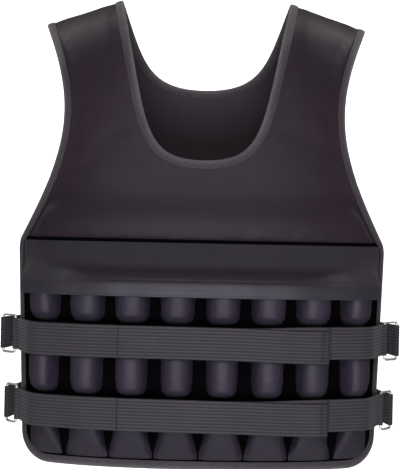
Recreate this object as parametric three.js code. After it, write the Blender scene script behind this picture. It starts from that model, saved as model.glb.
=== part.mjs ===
// A weighted training vest in the shape it has when it is worn. Millimetres, +Z up, and the front faces -Y.
// A padded front and back panel meet at two shoulder seams. Twenty-four filled weight pockets, in three rows,
// are sewn to the front under a flap, and two elastic belts close the sides through four wire rings.
// z = 0 is the middle of the shoulder seams, where the vest sits on its wearer.
import * as THREE from "three";

// The cut of the panels, as drops below the shoulder seams and half widths from the centre line.
const hemDrop = 580;
const hemHalf = 224;
const hemCorner = 36;
const armholeDrop = 304;
const armholeHalf = 175;
const sideFlare = 10; // wider at the armholes than at the hem
const shoulderHalf = 209;
const shoulderFall = 33;
const neckHalf = 112;
const frontNeckDrop = 201;
const backNeckDrop = 90;

// The body that the panels follow: a rounded plan, upright below archDrop and arched over the shoulders above it.
const frontDepth = 118;
const backDepth = 105;
const sideRoom = 14;
const archDrop = 224;
const planPower = 2.4;
const archPower = 2.2;

// Cloth walls.
const panelWall = 4;
const flapWall = 2.4;
const tapeWall = 1.2;
const tapeWidth = 9;
const beltWall = 1.8;
const sewnGap = 0.5; // cloth lying on cloth
const seamGap = 0.3; // front panel to back panel, along each shoulder seam
const flapSeamLift = 1.1;
const flapClear = 2; // pocket tops to the flap over them

// The padded roll across the chest, just above the flap.
const rollHeight = 62;
const rollDepth = 10;

// The flap and the pocket block.
const blockInset = 10; // outer pockets to the hem's half width
const flapDrop = 301;
const flapHeight = 67;
const pocketColumns = 8;
const pocketWidth = 45;
const pocketDepth = 29;

// Belts and rings.
const beltWidth = 40;
const lowerBeltRise = 68; // belt centre above the hem
const beltPitch = 89;
const longBeltEnd = 158; // where the long belt's free end lies, right of the centre line
const longBeltFold = 99; // where its sewn fold ends, left of the centre line
const shortBeltEnd = 40;
const shortBeltFold = 196;
const rearBeltFold = 34; // length that each rear belt folds back on itself
const wireDiameter = 3.4;
const wireGap = 0.4;
const ringWidth = 21; // between the centres of a ring's two upright bars
const ringTurn = { upper: 34, lower: 46 }; // degrees that a ring's plane stands back from straight sideways
const ringPlay = 2.5; // above and below the belt
const ringCorner = 4;
const ringReach = 2; // from the panel's bound edge to the ring's front bar
const loopLead = 24; // length over which a belt's outer layer comes down from its ring bar

const sideHalf = hemHalf + sideFlare;
const blockHalf = hemHalf - blockInset;
const torsoHalf = sideHalf + sideRoom;
const archHeight = archDrop + shoulderFall / 2;
const archLength = archHeight * 1.15;
const front = { sign: -1, depth: frontDepth };
const back = { sign: 1, depth: backDepth };

// Height of the shoulder line above z = 0, rounded across the centre line.
function shoulderLine(x) {
  const slope = shoulderFall / (shoulderHalf - neckHalf);
  return slope * ((shoulderHalf + neckHalf) / 2 - Math.hypot(x, neckHalf / 4));
}

// Distance along a side's profile, 0 where the arch starts, for a point seen from the front at x, z.
function profileAt(x, z) {
  const share = (z + archDrop) / (shoulderLine(x) + archDrop);
  if (share <= 0) return z + archDrop;
  return (archLength * Math.asin(Math.min(1, share) ** (archPower / 2))) / (Math.PI / 2);
}

// The bare point of the body form for a side, before any lift.
function formPoint(side, x, s) {
  const across = Math.min(Math.abs(x) / torsoHalf, 0.9999);
  const depth = side.depth * (1 - across ** planPower) ** (1 / planPower);
  if (s <= 0) return new THREE.Vector3(x, side.sign * depth, s - archDrop);
  const angle = (Math.min(s / archLength, 1) * Math.PI) / 2;
  const y = side.sign * depth * Math.max(Math.cos(angle), 0) ** (2 / archPower);
  const z = (shoulderLine(x) + archDrop) * Math.sin(angle) ** (2 / archPower) - archDrop;
  return new THREE.Vector3(x, y, z);
}

// Directions of the form at a point: across, along the profile, and outwards.
function formFrame(side, x, s) {
  const step = 0.5;
  const along = Math.min(s, archLength - step);
  const dx = formPoint(side, x + step, along).sub(formPoint(side, x - step, along)).divideScalar(2 * step);
  const ds = formPoint(side, x, along + step).sub(formPoint(side, x, along - step)).divideScalar(2 * step);
  const out = new THREE.Vector3().crossVectors(dx, ds).multiplyScalar(-side.sign).normalize();
  if (s >= archLength - 1e-6) out.setY(0).normalize();
  return { dx, ds, out };
}

// A point of the vest: on the form, lifted outwards, and drawn back from the shoulder seam.
function skin(side, x, s, lift = 0) {
  const point = formPoint(side, x, s).addScaledVector(formFrame(side, x, s).out, lift);
  point.y += (side.sign * seamGap) / 2;
  return point;
}

// Arc length along the front's plan, so that the pockets are evenly spaced on the cloth.
const planSteps = 400;
const planArc = [0];
for (let i = 1; i <= planSteps; i++) {
  const from = formPoint(front, (torsoHalf * (i - 1)) / planSteps, 0);
  const to = formPoint(front, (torsoHalf * i) / planSteps, 0);
  planArc.push(planArc[i - 1] + from.distanceTo(to));
}

function arcAt(x) {
  const at = (Math.abs(x) / torsoHalf) * planSteps;
  const low = Math.min(Math.floor(at), planSteps - 1);
  return Math.sign(x) * (planArc[low] + (planArc[low + 1] - planArc[low]) * (at - low));
}

function acrossAt(arc) {
  const length = Math.abs(arc);
  let low = 0;
  while (low < planSteps - 1 && planArc[low + 1] < length) low++;
  const part = (length - planArc[low]) / (planArc[low + 1] - planArc[low]);
  return (Math.sign(arc) * torsoHalf * (low + part)) / planSteps;
}

// A closed solid from equal rings of points: open ends take the cap triangles, or the rings close on themselves.
// Faces listed in turned are split along their other diagonal.
function loft(rings, caps, turned = []) {
  const count = rings[0].length;
  const index = [];
  const spans = caps ? rings.length - 1 : rings.length;
  for (let i = 0; i < spans; i++) {
    const a = i * count;
    const b = ((i + 1) % rings.length) * count;
    for (let j = 0; j < count; j++) {
      const k = (j + 1) % count;
      if (turned.includes(j)) index.push(a + j, a + k, b + j, a + k, b + k, b + j);
      else index.push(a + j, a + k, b + k, a + j, b + k, b + j);
    }
  }
  if (caps) {
    const last = (rings.length - 1) * count;
    for (const [p, q, r] of caps) index.push(p, r, q, last + p, last + q, last + r);
  }
  return facingOut(rings.flat(), index);
}

// A wall from a flat net of triangles: its outer and inner face, joined round every free edge.
function wall(outer, inner, triangles) {
  const count = outer.length;
  const index = [];
  const edges = new Map();
  for (const [a, b, c] of triangles) {
    index.push(a, b, c, count + a, count + c, count + b);
    for (const [p, q] of [[a, b], [b, c], [c, a]]) edges.set(p + "_" + q, [p, q]);
  }
  for (const [p, q] of edges.values()) {
    if (!edges.has(q + "_" + p)) index.push(q, p, count + p, q, count + p, count + q);
  }
  return facingOut([...outer, ...inner], index);
}

function facingOut(points, index) {
  let volume = 0;
  for (let i = 0; i < index.length; i += 3) {
    const [a, b, c] = [points[index[i]], points[index[i + 1]], points[index[i + 2]]];
    volume += a.dot(new THREE.Vector3().crossVectors(b, c));
  }
  if (volume < 0) {
    for (let i = 0; i < index.length; i += 3) [index[i + 1], index[i + 2]] = [index[i + 2], index[i + 1]];
  }
  const geometry = new THREE.BufferGeometry().setFromPoints(points).setIndex(index);
  geometry.computeVertexNormals();
  return geometry;
}

// Triangles over a closed outline, wound the way that its points run.
function capOf(outline) {
  const triangles = THREE.ShapeUtils.triangulateShape([...outline], []);
  return THREE.ShapeUtils.isClockWise(outline) ? triangles.map(([a, b, c]) => [a, c, b]) : triangles;
}

// The cut of one panel, seen from the front, on the right half.
const armhole = new THREE.CubicBezierCurve(
  new THREE.Vector2(sideHalf, -armholeDrop),
  new THREE.Vector2(armholeHalf * 0.93, -armholeDrop + (armholeDrop - shoulderFall / 2) * 0.42),
  new THREE.Vector2(armholeHalf * 0.91, -shoulderFall / 2 - (armholeDrop - shoulderFall / 2) * 0.38),
  new THREE.Vector2(shoulderHalf, shoulderLine(shoulderHalf)),
);

// A neckline: flat and lean shape its lower corner as shares of its half width, side as a share of its drop.
function neckline(drop, flat, lean, side) {
  const top = shoulderLine(neckHalf);
  return new THREE.CubicBezierCurve(
    new THREE.Vector2(0, -drop),
    new THREE.Vector2(neckHalf * flat, -drop),
    new THREE.Vector2(neckHalf * lean, top - (top + drop) * side),
    new THREE.Vector2(neckHalf, top),
  );
}

// Parameter of a curve whose height only rises, where it reaches z.
function whereAt(curve, z) {
  let low = 0;
  let high = 1;
  for (let i = 0; i < 40; i++) {
    const middle = (low + high) / 2;
    if (curve.getPoint(middle).y < z) low = middle;
    else high = middle;
  }
  return (low + high) / 2;
}

// Points of an edge curve from a parameter to its end, evenly spaced along the cloth.
function alongEdge(curve, from, count) {
  const dense = evenly(from, 1, 200).map((share) => {
    const { x, y } = curve.getPoint(share);
    return { x, s: profileAt(x, y) };
  });
  const run = [0];
  for (let i = 1; i < dense.length; i++) {
    run.push(run[i - 1] + Math.hypot(dense[i].x - dense[i - 1].x, dense[i].s - dense[i - 1].s));
  }
  return evenly(0, run.at(-1), count).map((at) => dense[run.findIndex((length) => length >= at - 1e-6)]);
}

// Half width of a panel at a height below the armholes' narrowest point.
function edgeAt(z) {
  const cornerTop = -hemDrop + hemCorner;
  if (z < cornerTop) {
    const down = Math.min(cornerTop - z, hemCorner);
    return hemHalf - hemCorner + Math.sqrt(hemCorner ** 2 - down ** 2);
  }
  if (z <= -armholeDrop) return hemHalf + ((sideHalf - hemHalf) * (z - cornerTop)) / (-armholeDrop - cornerTop);
  return armhole.getPoint(whereAt(armhole, z)).x;
}

function evenly(from, to, count) {
  return Array.from({ length: count }, (_, i) => from + ((to - from) * i) / (count - 1));
}

const cornerLevels = evenly(0, 90, 5).map((a) => -hemDrop + hemCorner * (1 - Math.cos((a * Math.PI) / 180)));

// The chest roll: rise is a share of its height above the flap's seam, swell a share of its depth.
const rollSections = [
  { rise: 0, swell: 0 },
  { rise: 0.04, swell: 0.5 },
  { rise: 0.1, swell: 0.86 },
  { rise: 0.19, swell: 1 },
  { rise: 0.36, swell: 0.84 },
  { rise: 0.6, swell: 0.42 },
  { rise: 1, swell: 0 },
];

function rollSwell(x, z) {
  const rise = (z + flapDrop) / rollHeight;
  const next = rollSections.findIndex((section) => section.rise > rise);
  if (rise < 0 || next < 1) return 0;
  const [low, high] = [rollSections[next - 1], rollSections[next]];
  const swell = low.swell + ((high.swell - low.swell) * (rise - low.rise)) / (high.rise - low.rise);
  const fromEnd = THREE.MathUtils.smoothstep(edgeAt(z) - tapeWidth - Math.abs(x), 0, tapeWidth * 1.5);
  return rollDepth * swell * fromEnd;
}

// For each point of an edge line: the way out of the cloth there, and the point one tape width inside it.
function edgeFrames(side, edge, turn) {
  const middle = edge.map(({ x, s }) => skin(side, x, s, -panelWall / 2));
  return edge.map((point, i) => {
    const isEnd = i === 0 || i === edge.length - 1;
    const before = middle[Math.max(i - 1, 0)];
    const after = middle[Math.min(i + 1, edge.length - 1)];
    const along = new THREE.Vector3().subVectors(after, before);
    if (isEnd) along.set(0, along.y, 0);
    const { out } = formFrame(side, point.x, point.s);
    const outwards = new THREE.Vector3().crossVectors(along, out).multiplyScalar(-turn * side.sign).normalize();
    const inset = alongCloth(side, point, outwards.clone().multiplyScalar(-tapeWidth));
    return { point, inset, out, outwards, middle: middle[i] };
  });
}

// The form's x and s, moved along the cloth by a vector that lies in it.
function alongCloth(side, { x, s }, move) {
  const { dx, ds } = formFrame(side, x, s);
  const [a, b, d] = [dx.dot(dx), dx.dot(ds), ds.dot(ds)];
  const [p, q] = [dx.dot(move), ds.dot(move)];
  const scale = a * d - b * b;
  return { x: x + (p * d - q * b) / scale, s: Math.min(s + (q * a - p * b) / scale, archLength) };
}

// Columns of a panel's net, from the neck or the centre line to its edge tape.
const netColumns = [0, 0.24, 0.46, 0.64, 0.79, 0.91, 1];

// The net of a panel: rows at the given levels up to just below the neck, then rows that fan round it, and a
// strip under the edge tape.
function panelNet(side, levels, neck, fanRows) {
  const place = ([x, z]) => ({ x, s: profileAt(x, z) });
  const flip = ({ x, s }) => ({ x: -x, s });
  const from = whereAt(armhole, neck.getPoint(0).y - 3 * tapeWidth);
  const outerAt = [...levels.map((z) => place([edgeAt(z), z])), ...alongEdge(armhole, from, fanRows + 1)];
  const neckAt = alongEdge(neck, 0, fanRows + 1);
  const hemAt = netColumns.slice(1, -1).map((share) => ({ x: outerAt[0].x * share, s: outerAt[0].s }));
  const hem = [...hemAt.map(flip).reverse(), { x: 0, s: outerAt[0].s }, ...hemAt];
  const outerFrames = edgeFrames(side, [...outerAt.map(flip).reverse(), ...hem, ...outerAt], 1);
  const neckFrames = edgeFrames(side, [...neckAt.slice(1).map(flip).reverse(), ...neckAt], -1);

  const points = [];
  const addPoint = (point) => points.push(point) - 1;
  const outerInset = outerFrames.map(({ inset }) => addPoint(inset));
  const neckInset = neckFrames.map(({ inset }) => addPoint(inset));
  const rows = outerAt.map((_, i) => {
    if (i === 0) return outerInset.slice(outerAt.length - 1, outerAt.length + hem.length + 1);
    const [left, right] = [outerInset[outerAt.length - 1 - i], outerInset[outerAt.length + hem.length + i]];
    const up = i - levels.length;
    const centre = { x: 0, s: Math.max(profileAt(0, levels[i]), points[right].s) };
    const inner = up < 0 ? addPoint(centre) : neckInset[fanRows + up];
    const across = (from, to) =>
      netColumns.slice(1, -1).map((share) => {
        const [a, b] = [points[from], points[to]];
        return addPoint({ x: a.x + (b.x - a.x) * share, s: a.s + (b.s - a.s) * share });
      });
    const leftInner = up < 0 ? inner : neckInset[fanRows - up];
    return [left, ...across(leftInner, left).reverse(), leftInner, inner, ...across(inner, right), right];
  });
  rows[0].splice(netColumns.length, 0, rows[0][netColumns.length - 1]);
  const triangles = [];
  const quad = (a, b, c, d) => triangles.push([a, b, c], [a, c, d]);
  for (let i = 0; i + 1 < rows.length; i++) {
    for (let j = 0; j + 1 < rows[i].length; j++) {
      if (j === netColumns.length - 1) continue;
      const [a, b, c, d] = [rows[i][j], rows[i][j + 1], rows[i + 1][j + 1], rows[i + 1][j]];
      if (j < netColumns.length) quad(a, b, c, d);
      else quad(b, c, d, a);
    }
  }
  const outerRim = outerFrames.map(({ point }) => addPoint(point));
  const neckRim = neckFrames.map(({ point }) => addPoint(point));
  for (let i = 0; i + 1 < outerRim.length; i++) quad(outerRim[i], outerRim[i + 1], outerInset[i + 1], outerInset[i]);
  for (let i = 0; i + 1 < neckRim.length; i++) quad(neckRim[i], neckInset[i], neckInset[i + 1], neckRim[i + 1]);
  return { points, triangles, outerFrames, neckFrames };
}

function panelSolid(side, net) {
  const z = (point) => formPoint(side, point.x, point.s).z;
  const swell = (point) => (side === front ? rollSwell(point.x, z(point)) : 0);
  const outer = net.points.map((point) => skin(side, point.x, point.s, swell(point)));
  const inner = net.points.map((point) => skin(side, point.x, point.s, -panelWall));
  return wall(outer, inner, net.triangles);
}

// Edge tape folded over a panel's edge. Each corner is a distance outwards from the edge and off the mid wall.
const tapeNear = panelWall / 2 + sewnGap;
const tapeFar = tapeNear + tapeWall;
const tapeSection = [
  [-tapeWidth, tapeFar],
  [sewnGap + tapeWall, tapeFar],
  [sewnGap + tapeWall, -tapeFar],
  [-tapeWidth, -tapeFar],
  [-tapeWidth, -tapeNear],
  [sewnGap, -tapeNear],
  [sewnGap, tapeNear],
  [-tapeWidth, tapeNear],
].map(([out, off]) => new THREE.Vector2(out, off));

function bindingSolid(side, frames) {
  const rings = frames.map(({ inset, out, outwards, middle }) =>
    tapeSection.map((corner) => {
      if (corner.x < 0) return skin(side, inset.x, inset.s, corner.y - panelWall / 2);
      return middle.clone().addScaledVector(outwards, corner.x).addScaledVector(out, corner.y);
    }),
  );
  return loft(rings, capOf(tapeSection), [0, 4]);
}

// The flap: down is a share of its height from its seam, out a share of the way to the pockets' fronts.
const flapSections = [
  { down: 0, out: 0 },
  { down: 0.3, out: 0.05 },
  { down: 0.46, out: 0.28 },
  { down: 0.6, out: 0.72 },
  { down: 0.74, out: 0.96 },
  { down: 1, out: 1 },
];

function flapLift(z) {
  const down = Math.min(Math.max((-flapDrop - z) / flapHeight, 0), 1);
  const next = Math.max(flapSections.findIndex((section) => section.down >= down), 1);
  const [low, high] = [flapSections[next - 1], flapSections[next]];
  const out = low.out + ((high.out - low.out) * (down - low.down)) / (high.down - low.down);
  return flapSeamLift + out * (pocketDepth + 2 * sewnGap - flapSeamLift);
}

// The flap reaches the edge tape, where its two ends come down to the panel.
const flapHalf = sideHalf - tapeWidth - 2 * sewnGap;
const flapEndLength = 25;
const flapEndRise = 0.05; // share of its lift that the flap keeps at its ends
function flapEase(arc) {
  const share = THREE.MathUtils.smoothstep(arcAt(flapHalf) - Math.abs(arc), 0, flapEndLength);
  return flapEndRise + (1 - flapEndRise) * share;
}

function flapSolid() {
  const columns = evenly(-arcAt(flapHalf), arcAt(flapHalf), pocketColumns * 4 + 1);
  const [outer, inner] = [[], []];
  for (const { down } of flapSections) {
    const z = -flapDrop - 1 - down * (flapHeight - 1);
    for (const arc of columns) {
      const lift = flapSeamLift + (flapLift(z) - flapSeamLift) * flapEase(arc);
      inner.push(skin(front, acrossAt(arc), z + archDrop, lift));
      outer.push(skin(front, acrossAt(arc), z + archDrop, lift + flapWall));
    }
  }
  const triangles = [];
  for (let i = 0; i + 1 < flapSections.length; i++) {
    for (let j = 0; j + 1 < columns.length; j++) {
      const a = i * columns.length + j;
      const b = a + columns.length;
      triangles.push([a, a + 1, b + 1], [a, b + 1, b]);
    }
  }
  return wall(outer, inner, triangles);
}

// Belt and pocket levels.
const beltLevels = { upper: -hemDrop + lowerBeltRise + beltPitch, lower: -hemDrop + lowerBeltRise };
const beltHalf = beltWidth / 2;
const tuck = 14; // how far a pocket's top reaches up behind the belt above it

// Pocket rows: each section is a share of the row's height from its bottom, of the pocket's width and depth.
const outerPocketShare = 0.86; // width of the outermost pockets, squeezed as the front turns to the side
const pocketRows = {
  top: {
    bottom: beltLevels.upper + beltHalf,
    top: -flapDrop - flapHeight * 0.42,
    sections: [
      { up: 0, wide: 0.6, deep: 0.3 },
      { up: 0.05, wide: 0.74, deep: 0.62 },
      { up: 0.16, wide: 0.86, deep: 0.88 },
      { up: 0.36, wide: 0.95, deep: 1 },
      { up: 0.7, wide: 1, deep: 1 },
      { up: 0.85, wide: 0.98, deep: 0.8 },
      { up: 1, wide: 0.9, deep: 0.3 },
    ],
  },
  middle: {
    bottom: beltLevels.lower + beltHalf,
    top: beltLevels.upper - beltHalf + tuck,
    sections: [
      { up: 0, wide: 0.52, deep: 0.28 },
      { up: 0.06, wide: 0.68, deep: 0.6 },
      { up: 0.16, wide: 0.78, deep: 0.84 },
      { up: 0.38, wide: 0.84, deep: 0.98 },
      { up: 0.72, wide: 0.86, deep: 0.96 },
      { up: 1, wide: 0.84, deep: 0.8 },
    ],
  },
  bottom: {
    bottom: -hemDrop + tapeWidth + 4 * sewnGap,
    top: beltLevels.lower - beltHalf + tuck,
    sections: [
      { up: 0, wide: 1.18, deep: 0.1 },
      { up: 0.14, wide: 1.16, deep: 0.26 },
      { up: 0.4, wide: 1.08, deep: 0.5 },
      { up: 0.7, wide: 0.96, deep: 0.68 },
      { up: 1, wide: 0.86, deep: 0.72 },
    ],
  },
};
const pocketFacets = 8;
const pocketPower = 2.5;

// Half width of the panel inside its edge tape.
function insideTape(z) {
  const cornerTop = -hemDrop + hemCorner;
  if (z > cornerTop) return edgeAt(z) - tapeWidth;
  const radius = hemCorner - tapeWidth;
  return hemHalf - hemCorner + Math.sqrt(radius ** 2 - Math.min(cornerTop - z, radius) ** 2);
}

function pocketRing(row, section, column) {
  const z = row.bottom + (row.top - row.bottom) * section.up;
  const pitch = (2 * arcAt(blockHalf)) / pocketColumns;
  const centre = (column - (pocketColumns - 1) / 2) * pitch;
  const isOuter = column === 0 || column === pocketColumns - 1;
  const wide = pocketWidth * section.wide * (isOuter ? outerPocketShare : 1);
  const half = Math.min(wide, pitch - 2 * sewnGap) / 2;
  const limit = arcAt(insideTape(z) - 3 * sewnGap);
  const room = flapLift(z) > flapSeamLift ? flapLift(z) - flapClear : pocketDepth;
  const depth = Math.min(pocketDepth * section.deep, room);
  const place = (aside, lift) => {
    const arc = THREE.MathUtils.clamp(centre + aside, -limit, limit);
    return skin(front, acrossAt(arc), z + archDrop, lift);
  };
  const bow = (angle) => {
    const [sine, cosine] = [Math.sin((angle * Math.PI) / 180), Math.max(Math.cos((angle * Math.PI) / 180), 0)];
    const power = 2 / pocketPower;
    return place(half * Math.sign(sine) * Math.abs(sine) ** power, sewnGap + depth * cosine ** power);
  };
  return [...evenly(-90, 90, pocketFacets + 1).map(bow), ...[0.5, 0, -0.5].map((share) => place(half * share, sewnGap))];
}

function pocketSolid(row, column) {
  const rings = row.sections.map((section) => pocketRing(row, section, column));
  const flat = rings[1].map((point) => new THREE.Vector2(point.x, point.y));
  return loft(rings, capOf(flat));
}

// The outer side of a set of plan points as a convex line from its left to its right end.
function tautLine(points, side) {
  const sorted = [...points].sort((p, q) => p.x - q.x || side.sign * (q.y - p.y));
  const line = [];
  for (const point of sorted) {
    while (line.length > 1) {
      const [a, b] = line.slice(-2);
      const turn = (b.x - a.x) * (point.y - a.y) - (b.y - a.y) * (point.x - a.x);
      if (turn * side.sign < 0) break;
      line.pop();
    }
    line.push(point);
  }
  return line;
}

// That line moved outwards by a lift that may change along it, in steps short enough to bend smoothly.
const bendStep = 20;
function liftedLine(line, side, liftAt) {
  const dense = [line[0]];
  for (let i = 1; i < line.length; i++) {
    const parts = Math.ceil(line[i].distanceTo(line[i - 1]) / bendStep);
    for (let k = 1; k <= parts; k++) dense.push(new THREE.Vector2().lerpVectors(line[i - 1], line[i], k / parts));
  }
  return dense.map((point, i) => {
    const before = dense[Math.max(i - 1, 0)];
    const after = dense[Math.min(i + 1, dense.length - 1)];
    const a = new THREE.Vector2().subVectors(point, i ? before : point).normalize();
    const b = new THREE.Vector2().subVectors(after, point).normalize();
    const along = a.clone().add(b).normalize();
    const mitre = 1 / Math.max(along.dot(i ? a : b), 0.5);
    const out = new THREE.Vector2(along.y, -along.x).multiplyScalar(-side.sign);
    return point.clone().addScaledVector(out, liftAt(point.x) * mitre);
  });
}

// Part of a line from its left end to where it reaches x.
function cutAt(line, x) {
  const next = line.findIndex((point) => point.x > x);
  if (next < 1) return line;
  const [a, b] = [line[next - 1], line[next]];
  return [...line.slice(0, next), new THREE.Vector2().lerpVectors(a, b, (x - a.x) / (b.x - a.x))];
}

// Round a bar: from the tangent of one line's end, about the centre, to the tangent of the next line's start.
function roundBar(centre, radius, from, to, turn) {
  const touch = (point, way) => {
    const away = new THREE.Vector2().subVectors(point, centre);
    return away.angle() + way * Math.acos(Math.min(radius / away.length(), 1));
  };
  const start = touch(from, turn);
  let end = touch(to, -turn);
  while ((end - start) * turn < 0) end += turn * 2 * Math.PI;
  while ((end - start) * turn > 2 * Math.PI) end -= turn * 2 * Math.PI;
  return evenly(start, end, 9).map((angle) =>
    new THREE.Vector2(Math.cos(angle), Math.sin(angle)).multiplyScalar(radius).add(centre),
  );
}

// A band of webbing on edge: its middle line in plan, given its thickness and stood up to its width.
function bandSolid(line, level) {
  const shifted = (way) =>
    line.map((point, i) => {
      const before = line[Math.max(i - 1, 0)];
      const after = line[Math.min(i + 1, line.length - 1)];
      const a = new THREE.Vector2().subVectors(point, before).normalize();
      const b = new THREE.Vector2().subVectors(after, point).normalize();
      const along = a.clone().add(b).normalize();
      const mitre = 1 / Math.max(Math.max(along.dot(a), along.dot(b)), 0.6);
      return point.clone().addScaledVector(new THREE.Vector2(-along.y, along.x), (way * mitre * beltWall) / 2);
    });
  const shape = new THREE.Shape([...shifted(1), ...shifted(-1).reverse()]);
  const geometry = new THREE.ExtrudeGeometry(shape, { depth: beltWidth, bevelEnabled: false });
  return geometry.translate(0, 0, level - beltHalf);
}

const inPlan = (point) => new THREE.Vector2(point.x, point.y);
const mirrored = (line) => line.map((point) => new THREE.Vector2(-point.x, point.y));

// The plan points of a panel's bound edge at a belt, on the right: outermost corner, then the tape's inner edge.
function boundEdge(side, level) {
  const edge = edgeAt(level + beltHalf);
  const s = level + archDrop;
  const thick = sewnGap + tapeWall;
  const corner = skin(side, edge, s, thick).addScaledVector(formFrame(side, edge, s).dx.normalize(), thick);
  return [corner, skin(side, edge - tapeWidth, s, thick)].map(inPlan);
}

const layer = beltWall + seamGap;
const firstLift = sewnGap + beltWall / 2;
const loopRadius = wireDiameter / 2 + wireGap + beltWall / 2;

// One belt's plan lines and ring centres, at its own level.
function beltPlan(level, ringAngle) {
  const edgePoints = boundEdge(front, level);
  const pockets = [];
  for (const row of Object.values(pocketRows)) {
    for (const section of row.sections) {
      const z = row.bottom + (row.top - row.bottom) * section.up;
      if (Math.abs(z - level) > beltHalf + tuck) continue;
      for (let column = 0; column < pocketColumns; column++) pockets.push(...pocketRing(row, section, column).map(inPlan));
    }
  }
  const wrapped = tautLine([...pockets, ...edgePoints, ...mirrored(edgePoints)], front);
  const [last, end] = wrapped.slice(-2);
  const along = new THREE.Vector2().subVectors(end, last).normalize();
  const out = new THREE.Vector2(along.y, -along.x);
  const barLift = firstLift + loopRadius;
  const frontBar = end.clone().addScaledVector(along, ringReach).addScaledVector(out, barLift);
  const turn = THREE.MathUtils.degToRad(ringAngle);
  const rearBar = new THREE.Vector2(Math.cos(turn), Math.sin(turn)).multiplyScalar(ringWidth).add(frontBar);
  const rearEdge = boundEdge(back, level);
  const rearCloth = evenly(-edgeAt(level), edgeAt(level), 21).map((x) => inPlan(skin(back, x, level + archDrop)));
  const rearWrapped = tautLine([...rearCloth, ...rearEdge, ...mirrored(rearEdge)], back);
  return { wrapped, frontBar, rearBar, rearWrapped };
}

// The part of a belt's outer layer that has come down from its ring bar.
const beyondBar = (line, bar) => line.filter((point) => point.distanceTo(bar) > loopLead);

function longBeltSolid({ wrapped, frontBar }, level) {
  const over = (x) => THREE.MathUtils.smoothstep(x, shortBeltEnd - 3 * bendStep, shortBeltEnd - bendStep);
  const bar = frontBar.clone().setX(-frontBar.x);
  const lifted = liftedLine(wrapped, front, (x) => firstLift + layer * (1 + over(x)));
  const outer = beyondBar(cutAt(lifted, longBeltEnd), bar);
  const inner = cutAt(liftedLine(wrapped, front, () => firstLift), -longBeltFold);
  return bandSolid([...inner.reverse(), ...roundBar(bar, loopRadius, inner.at(-1), outer[0], -1), ...outer], level);
}

function shortBeltSolid({ wrapped, frontBar }, level) {
  const bar = frontBar.clone().setX(-frontBar.x);
  const outer = beyondBar(cutAt(liftedLine(wrapped, front, () => firstLift + layer), -shortBeltEnd), bar);
  const inner = cutAt(liftedLine(wrapped, front, () => firstLift), -shortBeltFold);
  const line = [...inner.reverse(), ...roundBar(bar, loopRadius, inner.at(-1), outer[0], -1), ...outer];
  return bandSolid(mirrored(line), level);
}

function rearBeltSolid({ rearWrapped, rearBar }, level) {
  const cloth = liftedLine(rearWrapped, back, () => firstLift);
  const first = cloth[0];
  const leftBar = rearBar.clone().setX(-rearBar.x);
  const along = new THREE.Vector2().subVectors(first, leftBar).normalize();
  const inwards = new THREE.Vector2(along.y, -along.x);
  const fold = leftBar.clone().addScaledVector(along, rearBeltFold).addScaledVector(inwards, layer - loopRadius / 2);
  const loop = roundBar(leftBar, loopRadius, fold, first, 1);
  const line = [fold, ...loop, ...cloth];
  return bandSolid([...line, ...mirrored([fold, ...loop]).reverse()], level);
}

// A wire ring: a rounded rectangle of round wire on edge between two bar centres.
function ringSolid(frontBar, rearBar, level) {
  const wireSides = 6;
  const cornerSteps = 3;
  const radius = wireDiameter / 2;
  const halfHigh = beltHalf + ringPlay + radius;
  const middle = new THREE.Vector2().addVectors(frontBar, rearBar).divideScalar(2);
  const along = new THREE.Vector2().subVectors(rearBar, frontBar);
  const halfWide = along.length() / 2;
  along.normalize();
  const rings = [];
  for (const [cx, cz, from] of [[1, 1, 0], [-1, 1, 90], [-1, -1, 180], [1, -1, 270]]) {
    for (const angle of evenly(from, from + 90, cornerSteps + 1)) {
      const [c, s] = [Math.cos((angle * Math.PI) / 180), Math.sin((angle * Math.PI) / 180)];
      const u = cx * (halfWide - ringCorner) + ringCorner * c;
      const v = cz * (halfHigh - ringCorner) + ringCorner * s;
      rings.push(
        Array.from({ length: wireSides }, (_, k) => {
          const turn = ((k + 0.5) * 2 * Math.PI) / wireSides;
          const grow = radius * Math.cos(turn);
          const flat = middle.clone().addScaledVector(along, u + grow * c);
          flat.addScaledVector(new THREE.Vector2(-along.y, along.x), radius * Math.sin(turn));
          return new THREE.Vector3(flat.x, flat.y, level + v + grow * s);
        }),
      );
    }
  }
  return loft(rings, null);
}

// Colours and finishes.
const cloth = (colour, roughness) => new THREE.MeshStandardMaterial({ color: colour, roughness, metalness: 0 });
const materials = {
  panel: cloth(0x37323a, 0.62),
  pocket: cloth(0x42404a, 0.55),
  tape: cloth(0x403e42, 0.7),
  belt: cloth(0x454448, 0.75),
  ring: new THREE.MeshStandardMaterial({ color: 0xcfcfd2, roughness: 0.22, metalness: 1 }),
};

const vest = new THREE.Group();
function add(name, geometry, material, parent = vest) {
  const mesh = new THREE.Mesh(geometry, material);
  mesh.name = name;
  parent.add(mesh);
}

const frontNet = panelNet(
  front,
  [
    ...cornerLevels,
    ...evenly(cornerLevels.at(-1), -flapDrop, 4).slice(1, -1),
    ...rollSections.map(({ rise }) => -flapDrop + rise * rollHeight),
  ],
  neckline(frontNeckDrop, 0.74, 0.64, 0.78),
  9,
);
const backNet = panelNet(
  back,
  [...cornerLevels, ...evenly(-armholeDrop, -backNeckDrop - 5 * tapeWidth, 5)],
  neckline(backNeckDrop, 0.71, 0.79, 0.65),
  6,
);
add("front_panel", panelSolid(front, frontNet), materials.panel);
add("back_panel", panelSolid(back, backNet), materials.panel);
add("front_edge_binding", bindingSolid(front, frontNet.outerFrames), materials.tape);
add("back_edge_binding", bindingSolid(back, backNet.outerFrames), materials.tape);
add("front_neck_binding", bindingSolid(front, frontNet.neckFrames), materials.tape);
add("back_neck_binding", bindingSolid(back, backNet.neckFrames), materials.tape);
add("pocket_flap", flapSolid(), materials.panel);

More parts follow.
